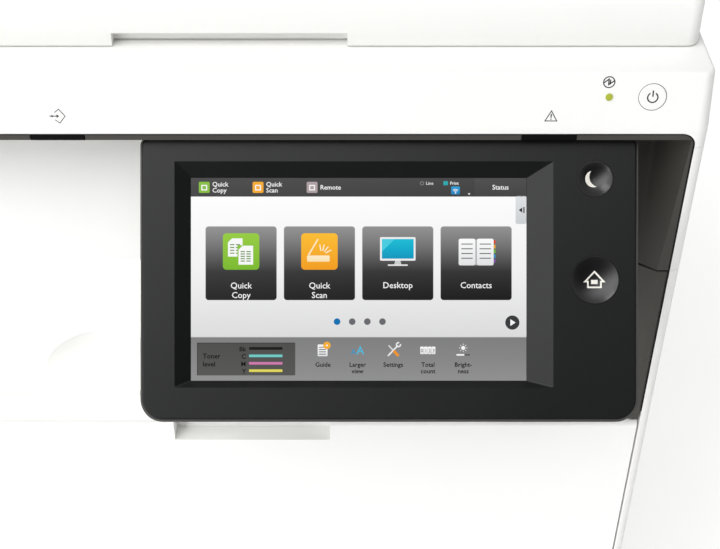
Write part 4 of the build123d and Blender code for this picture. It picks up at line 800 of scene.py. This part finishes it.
# %% Boards for the dished keys
class Dish(Board):
    """A board whose surface is a bowl: at r from the middle it is higher by R less the root of R2 - r2."""

    def __init__(self, origin, across, up, bowl):
        super().__init__(origin, across, up)
        self.bowl = bowl

    def at(self, x, y, lift=0.0):
        far = np.asarray(x, float) ** 2 + np.asarray(y, float) ** 2
        return super().at(x, y, lift + self.bowl - np.sqrt(self.bowl ** 2 - far))


def key_dish(node):
    """The dish of a key, from its mesh: its middle, its floor and its bowl's radius."""
    measured = panel.measure(points_of(node))
    low, high = measured.min(0), measured.max(0)
    front = measured[measured[:, 2] > high[2] - 0.0038]
    middle = (front.min(0) + front.max(0)) / 2
    reach = np.hypot(front[:, 0] - middle[0], front[:, 1] - middle[1])
    floor = front[reach < 0.6 * reach.max(), 2].min()
    rim, deep = reach.max() - 0.0004, high[2] - floor
    print(node, "radius and depth, mm:", np.round([reach.max() / MM, deep / MM], 2))
    bowl = (rim ** 2 + deep ** 2) / (2 * deep)
    return Dish(panel.at(middle[0], middle[1], floor), (1, 0, 0), panel_up, bowl)


# %% Moon and house
SYMBOL_WHITE = (232, 229, 221)
moon = Drawing(key_dish("sleep_button"), 0.05 * MM)
outer_turn = np.linspace(radians(106), radians(293), 36)
inner_turn = np.linspace(radians(253), radians(146), 26)
moon_x = np.concatenate([-0.6 + 5.42 * np.cos(outer_turn), 3.47 + 6.72 * np.cos(inner_turn)])
moon_y = np.concatenate([5.42 * np.sin(outer_turn), 1.43 + 6.72 * np.sin(inner_turn)])
n = len(outer_turn)
edge_in = np.linspace(n, len(moon_x) - 1, n).round().astype(int)[::-1]
moon.add(moon_x, moon_y, tone(*SYMBOL_WHITE),
         [[i, i + 1, edge_in[i + 1], edge_in[i]] if edge_in[i] != edge_in[i + 1] else [i, i + 1, edge_in[i]]
          for i in range(n - 1)], 1)
moon.made("sleep_symbol", "sleep_button", print_and_shade_finish)

house = Drawing(key_dish("home_button"), 0.05 * MM)
house_line = [(0, 5.3), (6.0, -1.0), (4.2, -1.0), (4.2, -4.8), (-4.2, -4.8), (-4.2, -1.0), (-6.0, -1.0)]
house.line(house_line[::-1], 1.05, SYMBOL_WHITE, closed=True)
house.card(-2.1, -2.7, 4.2, 2.7, [SYMBOL_WHITE])
house.made("home_symbol", "home_button", print_and_shade_finish)

# %% [markdown]
# ## Symbols on the ledge
# The white ledge over the panel carries the power key and a few small grey symbols, screen printed on the
# plastic: data, alert and energy saving. The board is laid on the ledge through the power key's own face.

# %% Ledge board
LEAN = radians(13.0)
ledge_up = (0, sin(LEAN), cos(LEAN))
loose_ledge = Board((0, 0, 0), (1, 0, 0), ledge_up)
key_points = loose_ledge.measure(points_of("power_button"))
key_top = key_points[key_points[:, 2] > key_points[:, 2].max() - 0.0002]
key_middle = (key_top.min(0) + key_top.max(0)) / 2
KEY_PROUD = 0.35 * MM
key_face = Board(loose_ledge.at(key_middle[0], key_middle[1], key_top[:, 2].max()), (1, 0, 0), ledge_up)
ledge = Board(key_face.at(0, 0, -KEY_PROUD), (1, 0, 0), ledge_up)
key_radius = (key_top[:, 0].max() - key_top[:, 0].min()) / 2 / MM
print("power key radius, mm:", round(key_radius, 2), "at x, mm:", round(key_middle[0] / MM, 1))

# %% Printed symbols, and a painted shadow round the power key
PRINT_GREY = (44, 44, 45)
power_mark = Drawing(key_face, 0.03 * MM)
power_mark.ring(0, -0.2, 3.2, 0.85, PRINT_GREY, start=radians(122), end=radians(418), sides=40)
power_mark.line([(0, 4.4), (0, 0.3)], 0.85, PRINT_GREY, 2)
power_mark.made("power_mark", "power_button", print_and_shade_finish)

marks = Drawing(ledge, 0.04 * MM)
# Painted shadow: a dark ring round the power key, where the gap between key and ledge lies in shade.
marks.ring(0, 0, 8.6, 0.62, (50, 50, 51))


def alert_mark(x, y):
    """A triangle with an exclamation mark."""
    marks.line([(x - 3.7, y - 3.2), (x + 3.7, y - 3.2), (x, y + 3.5)], 0.6, PRINT_GREY, closed=True)
    marks.line([(x, y + 1.5), (x, y - 1.0)], 0.8, PRINT_GREY)
    marks.line([(x, y - 1.6), (x, y - 2.3)], 0.8, PRINT_GREY)


def data_mark(x, y):
    """An arrow going into a diamond whose left corner is open."""
    diamond = [(-1.5, 2.4), (1.3, 4.6), (5.0, 0.0), (1.3, -4.6), (-1.5, -2.4)]
    marks.line([(x + a, y + b) for a, b in diamond], 0.5, PRINT_GREY)
    marks.line([(x - 4.9, y), (x - 0.2, y)], 0.55, PRINT_GREY)
    marks.shape(x + np.array([-0.4, 1.3, -0.4]), y + np.array([-1.2, 0, 1.2]), PRINT_GREY)
    marks.shape(x + np.array([-3.6, -2.0, -3.6]), y + np.array([-0.9, 0, 0.9]), PRINT_GREY)


def saving_mark(x, y):
    """A lightning stroke in a circle."""
    marks.ring(x, y, 3.5, 0.7, PRINT_GREY)
    bolt = [(-3.2, -0.4), (-0.2, 2.0), (-0.2, -1.6), (3.2, 0.9)]
    marks.line([(x + a, y + b) for a, b in bolt], 0.75, PRINT_GREY, 2)
    marks.line([(x + 0.8, y + 1.7), (x + 0.8, y - 1.4)], 0.75, PRINT_GREY, 2)


KEY_X = key_middle[0] / MM
alert_mark(203.4 - KEY_X, -12.6)
data_mark(-107.5 - KEY_X, -12.6)
saving_mark(238.0 - KEY_X, 9.7)
marks.made("ledge_marks", "base", print_and_shade_finish)

# %% [markdown]
# ## Painted gap shadow and ready lamp
# A thin black strip lies in the gap between the white edge and the dark front: painted shadow, for the
# shade that falls in that gap. It is a strip whose path runs up the right edge, round the two upper corners
# and
# down the left: every row of corners crosses the strip, and each row is set off from the path along the
# path's own normal. The ready lamp is a turned shape: a profile of radius and height, carried round an
# axis.


# %% Strips and turned shapes
def grid_faces(rows, columns, round_rows=False, round_columns=False):
    """Faces of a grid of corners, which may join up with itself in either direction."""
    last_row, last_column = rows - (not round_rows), columns - (not round_columns)
    return [[i * columns + j, i * columns + (j + 1) % columns,
             (i + 1) % rows * columns + (j + 1) % columns, (i + 1) % rows * columns + j]
            for i in range(last_row) for j in range(last_column)]


def turned(board, x, y, profile, sides=32):
    """Corners and faces of a turned shape that stands on a board: (radius, height) pairs, middle last."""
    turn = np.linspace(0, tau, sides, endpoint=False)
    rim = np.array([p for p in profile if p[0] > 0], float) * MM
    wide, high = rim[:, :1], rim[:, 1:]
    corners = board.at(x + wide * np.cos(turn), y + wide * np.sin(turn), high + 0 * turn).reshape(-1, 3)
    faces = grid_faces(len(rim), sides, round_columns=True)
    tip = len(corners)
    corners = np.concatenate([corners, board.at(x, y, profile[-1][1] * MM).reshape(1, 3)])
    start = (len(rim) - 1) * sides
    faces += [[start + j, start + (j + 1) % sides, tip] for j in range(sides)]
    return corners, faces


def gathered(name, shapes, body, finish, smooth=True):
    """Several (corners, faces) shapes as one piece that rides on a body."""
    corners, faces, count = [], [], 0
    for some_corners, some_faces in shapes:
        corners.append(some_corners)
        faces += [[count + i for i in face] for face in some_faces]
        count += len(some_corners)
    thing = surface(name, np.concatenate(corners), faces, finish, smooth)
    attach(thing, body)
    return thing


# %% Painted gap shadow strip
FRONT = points_of("scanner_shell")[:, 1].min()
HALF = points_of("scanner_shell")[:, 0].max()
gap_shadow_x, gap_shadow_top = HALF - 8.55 * MM, points_of("status_lamps")[:, 2].min() + 4.55 * MM
gap_shadow_low = points_of("pillar_cover")[:, 2].min() + 14 * MM
CORNER = 8.4 * MM
bend = np.linspace(0, pi / 2, 14)
right = np.stack([gap_shadow_x - CORNER * (1 - np.cos(bend)), gap_shadow_top - CORNER * (1 - np.sin(bend))], 1)
path = np.concatenate([[(gap_shadow_x, gap_shadow_low)], right, (right * (-1, 1))[::-1],
                       [(-gap_shadow_x, points_of("scanner_housing")[:, 2].min())]])
runs = np.gradient(path, axis=0)
runs /= np.linalg.norm(runs, axis=1)[:, None]
aside = np.stack([-runs[:, 1], runs[:, 0]], 1)
GAP_SHADOW_HALF = 0.6 * MM
across_strip = np.linspace(-1, 1, 5) * GAP_SHADOW_HALF
strip = path[:, None, :] + aside[:, None, :] * across_strip[:, None]
bulge = FRONT + (0.35 - 0.2 * (1 - (across_strip / GAP_SHADOW_HALF) ** 2)) * MM
gap_shadow = np.stack([strip[..., 0], 0 * strip[..., 0] + bulge, strip[..., 1]], 2).reshape(-1, 3)
gap_shadow_faces = [face[::-1] for face in grid_faces(len(path), 5)]
# Painted shadow: the black strip darkens the gap between the white edge and the dark front, where shade
# falls.
gathered("front_gap_shadow", [(gap_shadow, gap_shadow_faces)], "base", rubber("gap_shadow_black", tone(7, 7, 7), 0.9))

# %% Ready lamp
lamp_finish = Finish("ready_lamp", emission_strength=0.2, specular_ior_level=0.3)
glow = lamp_finish.noise(0.004)
lamp_finish.set("Base Color", lamp_finish.mix(glow, tone(132, 142, 30), tone(158, 168, 52)))
lamp_finish.set("Emission Color", lamp_finish.mix(glow, tone(196, 206, 80), tone(216, 222, 110)))
lamp_finish.set("Roughness", 0.25 + 0.1 * glow)
lamp_x = (238.8 - KEY_X) * MM
dome = [(2.35, 0.1), (2.35, 0.45), (2.2, 0.7), (1.7, 0.8), (1.45, 0.62), (1.1, 0.75), (0.6, 0.88),
        (0, 0.92)]
gathered("ready_lamp", [turned(ledge, lamp_x, 0.0, dome)], "base", lamp_finish.material)

# %% [markdown]
# ## Small pieces
# The rest of the machine gets the pieces its makers would add: level windows and numbers on the cassettes,
# paper, screws and a turning knob behind the door, marks for the toners, a ruler beside the glass, the
# lamps of the scan carriage, and sockets at the rear. Most are slabs with round corners and bevelled edges.


# %% Slabs
def slab(board, x, y, width, height, thick, corner=1.0, bevel=0.3):
    """Corners and faces of a slab about a middle, in millimetres: three loops, closed below and on top."""
    quarter = np.linspace(0, pi / 2, 7)
    turn = np.concatenate([quarter + k * pi / 2 for k in range(4)])
    sign_x, sign_y = np.repeat([1, -1, -1, 1], 7), np.repeat([1, 1, -1, -1], 7)
    loops = []
    for inset, high in ((0.0, 0.0), (0.0, thick - bevel), (bevel, thick)):
        round_off = max(corner - inset, 0.05)
        across = sign_x * (width / 2 - corner) + round_off * np.cos(turn)
        along = sign_y * (height / 2 - corner) + round_off * np.sin(turn)
        loops.append(board.at((x + across) * MM, (y + along) * MM, high * MM))
    n = len(turn)
    faces = grid_faces(3, n, round_columns=True)
    faces += [list(range(n))[::-1], list(range(2 * n, 3 * n))]
    return np.concatenate(loops), faces


def box_of(node):
    """The lowest and highest corner of a design part."""
    points = points_of(node)
    return points.min(0), points.max(0)


RIGHTWARD, UPWARD, REARWARD = (1, 0, 0), (0, 0, 1), (0, 1, 0)

# %% Cassette windows and numbers
window_finish = Finish("level_window", specular_ior_level=0.5)
smoke = window_finish.noise(0.01)
window_finish.set("Base Color", window_finish.mix(smoke, tone(46, 52, 58), tone(58, 64, 70)))
window_finish.set("Roughness", 0.12 + 0.06 * window_finish.noise(0.006))
NUMBER_GREY = (92, 94, 97)
for number, cassette in (("1", "cassette_1"), ("2", "cassette_2")):
    low, high = box_of(cassette + "_front")
    window_board = Board((low[0] + 0.56, low[1] + 1.2 * MM, low[2] + 0.039), RIGHTWARD, UPWARD)
    gathered(cassette + "_window", [slab(window_board, 0, 0, 5.4, 37.4, 0.9, 1.2, 0.3)], cassette,
             window_finish.material)
    mark = Drawing(Board((low[0] + 0.535, low[1], low[2] + 0.039), RIGHTWARD, UPWARD))
    mark.words(number, 0, -4.5, 13.0, NUMBER_GREY)
    for i in range(4):
        mark.card(13.5, -17.4 + 11.4 * i, 6.0 - 1.2 * (i % 2), 0.7, [NUMBER_GREY])
    mark.made(cassette + "_mark", cassette, print_and_shade_finish)
print("cassette pieces made")

# %% [markdown]
# Paper is a slab whose finish draws the edges of its sheets: noise packed closely along Z gives thin level
# bands, in the colour and in the bump. The lower cassette holds a stack of large sheets.


# %% Paper
def paper_finish():
    """Uncoated paper: white with faint bands where the sheets' edges lie."""
    finish = Finish("paper", specular_ior_level=0.2)
    sheets = finish.noise(0.01, 2.0, (0.1, 0.1, 18.0))
    finish.set("Base Color", finish.mix(sheets, tone(236, 236, 232), tone(250, 250, 248)))
    finish.set("Roughness", 0.85 + 0.1 * sheets)
    finish.bump(sheets, 0.0001)
    return finish.material


tray_low, tray_high = box_of("cassette_2_tray")
tray_middle = (tray_low + tray_high) / 2
paper_board = Board((tray_middle[0], tray_middle[1], tray_low[2] + 2.8 * MM), RIGHTWARD, REARWARD)
gathered("paper_stack", [slab(paper_board, 0, 0, 420, 297, 42, 0.6, 0.2)], "cassette_2", paper_finish(),
         smooth=False)

# %% Behind the front door
plate_low = box_of("main_frame")[0]
plate = Board((0, plate_low[1], 0), RIGHTWARD, UPWARD)
SCREW = [(3.4, 0.0), (3.4, 0.9), (2.6, 1.8), (1.4, 2.2), (1.1, 1.3), (0.0, 1.2)]
places = [(-285, 300), (-285, 470), (178, 470), (178, 300), (-112, 470), (-17, 470), (78, 470)]
screws = [turned(plate, x * MM, z * MM, SCREW, 20) for x, z in places]
gathered("frame_screws", screws, "base", others["polished_steel"])
KNOB = [(13.0, 0.0), (13.0, 1.2), (12.2, 1.9), (9.0, 2.0), (8.4, 4.2), (7.6, 4.8), (4.0, 4.6), (0.0, 4.4)]
gathered("release_knob", [turned(plate, -0.262, 0.412, KNOB, 48)], "base",
         moulded("knob_green", tone(72, 158, 96), 0.0006, 0.00002, 0.45))
toner_marks = Drawing(plate)
drops = {"toner_black": (30, 30, 32), "toner_cyan": (20, 150, 200), "toner_magenta": (205, 50, 130),
         "toner_yellow": (236, 204, 50)}
for node, colour in drops.items():
    low, high = box_of(node)
    middle, over = (low[0] + high[0]) / 2 / MM, high[2] / MM + 15
    toner_marks.disc(middle, over, 4.2, colour)
    toner_marks.shape(middle + np.array([-3.9, 3.9, 0]), over + np.array([1.5, 1.5, 8.4]), colour, 2)
toner_marks.made("toner_marks", "base", print_and_shade_finish)

# %% Beside the glass
glass_low, glass_high = box_of("platen_glass")
top = box_of("scanner_top")[1][2]
ruler = Drawing(Board((glass_low[0], glass_high[1] + 1.5 * MM, top), RIGHTWARD, REARWARD))
long_side = (glass_high[0] - glass_low[0]) / MM
SCALE_GREY = (60, 61, 63)
ruler.card(0, 0, long_side, 9.0, [(247, 247, 245)], 0.8, 0)
for i in range(int(long_side // 10) + 1):
    tall = 4.2 if i % 5 == 0 else 2.2
    ruler.card(1.0 + 10 * i, 0.4, 0.4, tall, [SCALE_GREY])
    if i % 5 == 0 and i:
        ruler.words(str(i * 10), 1.2 + 10 * i, 5.2, 3.0, SCALE_GREY)
ruler.shape([2.0, 6.0, 2.0], [5.0, 5.0, 8.6], SCALE_GREY)
ruler.made("glass_ruler", "base", print_and_shade_finish)
glass_frame = Board((0, 0, top), RIGHTWARD, REARWARD)
corners = [(glass_low[0] - 0.052, glass_low[1] + 0.02), (glass_high[0] + 0.02, glass_low[1] + 0.02),
           (glass_low[0] - 0.052, glass_high[1] - 0.02), (glass_high[0] + 0.02, glass_high[1] - 0.02)]
FLAT_SCREW = [(2.8, 0.0), (2.7, 0.12), (1.2, 0.14), (1.0, 0.06), (0.0, 0.05)]
gathered("glass_screws", [turned(glass_frame, x, y, FLAT_SCREW, 20) for x, y in corners], "base",
         others["polished_steel"])

# %% Lamps of the scan carriage
lamp_strip = Finish("carriage_lamp", emission_color=(1.0, 1.0, 1.0, 1.0), emission_strength=0.5)
haze = lamp_strip.noise(0.008)
lamp_strip.set("Base Color", lamp_strip.mix(haze, tone(226, 232, 236), tone(240, 244, 247)))
lamp_strip.set("Roughness", 0.3 + 0.1 * lamp_strip.noise(0.01))
carriage_low, carriage_high = box_of("scan_carriage")
carriage_middle = (carriage_low + carriage_high) / 2
carriage = Board((carriage_middle[0], carriage_middle[1], carriage_high[2]), RIGHTWARD, REARWARD)
gathered("carriage_lamps", [slab(carriage, side * 9, 0, 5, 296, 1.4, 1.5, 0.5) for side in (-1, 1)],
         "scan_carriage", lamp_strip.material)
# Painted shade: the slit between the two lamps is a flat black slab, standing in for the dark opening.
gathered("carriage_slit", [slab(carriage, 0, 0, 4, 296, 0.6, 1.0, 0.2)], "scan_carriage",
         rubber("slit_painted_shade", tone(12, 12, 12), 0.8))

# %% Feeder marks
cover_low, cover_high = box_of("feeder_cover")
feeder_face = Board((cover_low[0] + 0.1, cover_low[1], cover_high[2] - 0.026), RIGHTWARD, UPWARD)
FEED_GREY = (96, 98, 101)
feed = Drawing(feeder_face)
feed.line([(-9, -5), (-9, 5), (-3, 5), (-1, 3), (-1, -5)], 0.7, FEED_GREY, closed=True)
feed.line([(3, 0), (11, 0)], 0.8, FEED_GREY)
feed.shape(11 + np.array([0, 3.4, 0]), np.array([-2.2, 0, 2.2]), FEED_GREY)
feed.made("feeder_marks", "feeder_cover", print_and_shade_finish)

# %% Sockets at the rear
rear_face = box_of("rear_cover")[1][1]
sockets = Board((0.120, rear_face - 4.6 * MM, 0.437), (-1, 0, 0), UPWARD)
mouth_sizes = [(-38, 13.5, 11.5), (-10, 9.5, 8.5), (16, 12.5, 5.0), (42, 12.5, 5.0)]
frame_sizes = [(-38, 17, 15), (-10, 13, 12), (16, 15, 7.5), (42, 15, 7.5)]
metal = [slab(sockets, x, 0, width, height, 2.6, 0.8, 0.3) for x, width, height in frame_sizes]
gathered("socket_frames", metal, "base", others["sheet_steel"], smooth=False)
front = Board(sockets.at(0, 0, 2.6 * MM), (-1, 0, 0), UPWARD)
mouths = Drawing(front)
# Painted shade: each socket's opening is a flat dark card on its frame, standing in for the dark hole.
for x, width, height in mouth_sizes:
    mouths.card(x - width / 2, -height / 2, width, height, [(14, 14, 15)], 0.5)
mouths.card(10.4, 0.2, 11.2, 1.5, [(214, 216, 219)], 0.2, 2)
mouths.card(36.4, 0.2, 11.2, 1.5, [(40, 120, 190)], 0.2, 2)
mouths.made("socket_mouths", "base", print_and_shade_finish)
print("small pieces made")

# %% [markdown]
# ## Light
# The machine stands in a white studio. A large soft lamp hangs overhead, a second one fills from the left
# front, a small one lights the hollow over the output tray, and the white walls do the rest. Dark glossy
# plastic shows what it faces, so a dark screen stands behind the camera. It keeps the panel black, and its
# lighter upper left part gives the panel its gentle shading.


# %% Lamps
def soft_lamp(name, place, target, size, power):
    """A square area lamp at a place, turned to a target."""
    data = bpy.data.lights.new(name, "AREA")
    data.shape, data.size, data.energy = "SQUARE", size, power
    lamp = bpy.data.objects.new(name, data)
    away = np.array(place, float) - target
    lamp.location = place
    tip, turn = np.arctan2(np.hypot(away[0], away[1]), away[2]), np.arctan2(away[1], away[0])
    lamp.rotation_euler = (tip, 0, turn + pi / 2)
    bpy.context.scene.collection.objects.link(lamp)


soft_lamp("overhead", (-0.7, -0.8, 2.9), (0.1, -0.3, 0.7), 1.0, 13.0)
soft_lamp("left_front", (-1.75, -2.35, 0.5), (0.0, -0.2, 0.6), 1.2, 20.0)
soft_lamp("over_the_tray", (-0.06, -0.05, 0.636), (-0.06, -0.05, 0.5), 0.3, 0.6)

# %% Studio walls
world = bpy.data.worlds.new("studio")
bpy.context.scene.world = world
world.use_nodes = True
walls = Graph(world.node_tree)
direction = walls.node("ShaderNodeTexCoord", output="Generated")
SCREEN_SIDE = (0.12, -0.90, 0.42)
SOFT_SIDE = (-0.76, -0.36, 0.54)
GLOW_SIDE = (-0.6, 0.5, 0.62)
screen_share = direction.dot(SCREEN_SIDE).step(cos(radians(54)), cos(radians(33)))
soft_share = direction.dot(SOFT_SIDE).step(cos(radians(34)), cos(radians(12)))
right_share = direction.dot((1.0, 0.0, 0.0)).step(0.25, 0.9)
glow_share = screen_share * direction.dot(GLOW_SIDE).step(-0.15, 0.35)
brightness = 0.52 - 0.46 * screen_share + 3.6 * glow_share + 1.0 * soft_share - 0.08 * right_share
background = world.node_tree.nodes["Background"]
walls.feed(background.inputs["Strength"], brightness)
background.inputs["Color"].default_value = (1.0, 1.0, 1.0, 1.0)
bpy.context.scene.view_settings.view_transform = "Standard"
bpy.context.scene.cycles.use_denoising = True

# %% Floor
floor_finish = Finish("pale_floor", emission_strength=0.34)
patches = floor_finish.noise(0.4)
floor_finish.set("Base Color", floor_finish.mix(patches, tone(238, 238, 237), tone(244, 244, 243)))
floor_finish.set("Roughness", 0.6 + 0.1 * floor_finish.noise(0.1))
floor_finish.set("Emission Color", (1.0, 1.0, 1.0, 1.0))
span = np.linspace(-3, 3, 13)
grid_x, grid_y = np.meshgrid(span, span)
floor_corners = np.stack([grid_x.ravel(), grid_y.ravel(), 0 * grid_x.ravel()], 1)
floor = surface("floor", floor_corners, grid_faces(len(span), len(span)), floor_finish.material)
floor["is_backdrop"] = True

# %% Sizes
low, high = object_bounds()
{"design": [list(design_low), list(design_high)], "scene": [list(low), list(high)]}
print("size, mm:", [round((b - a) / MM, 1) for a, b in zip(low, high)])
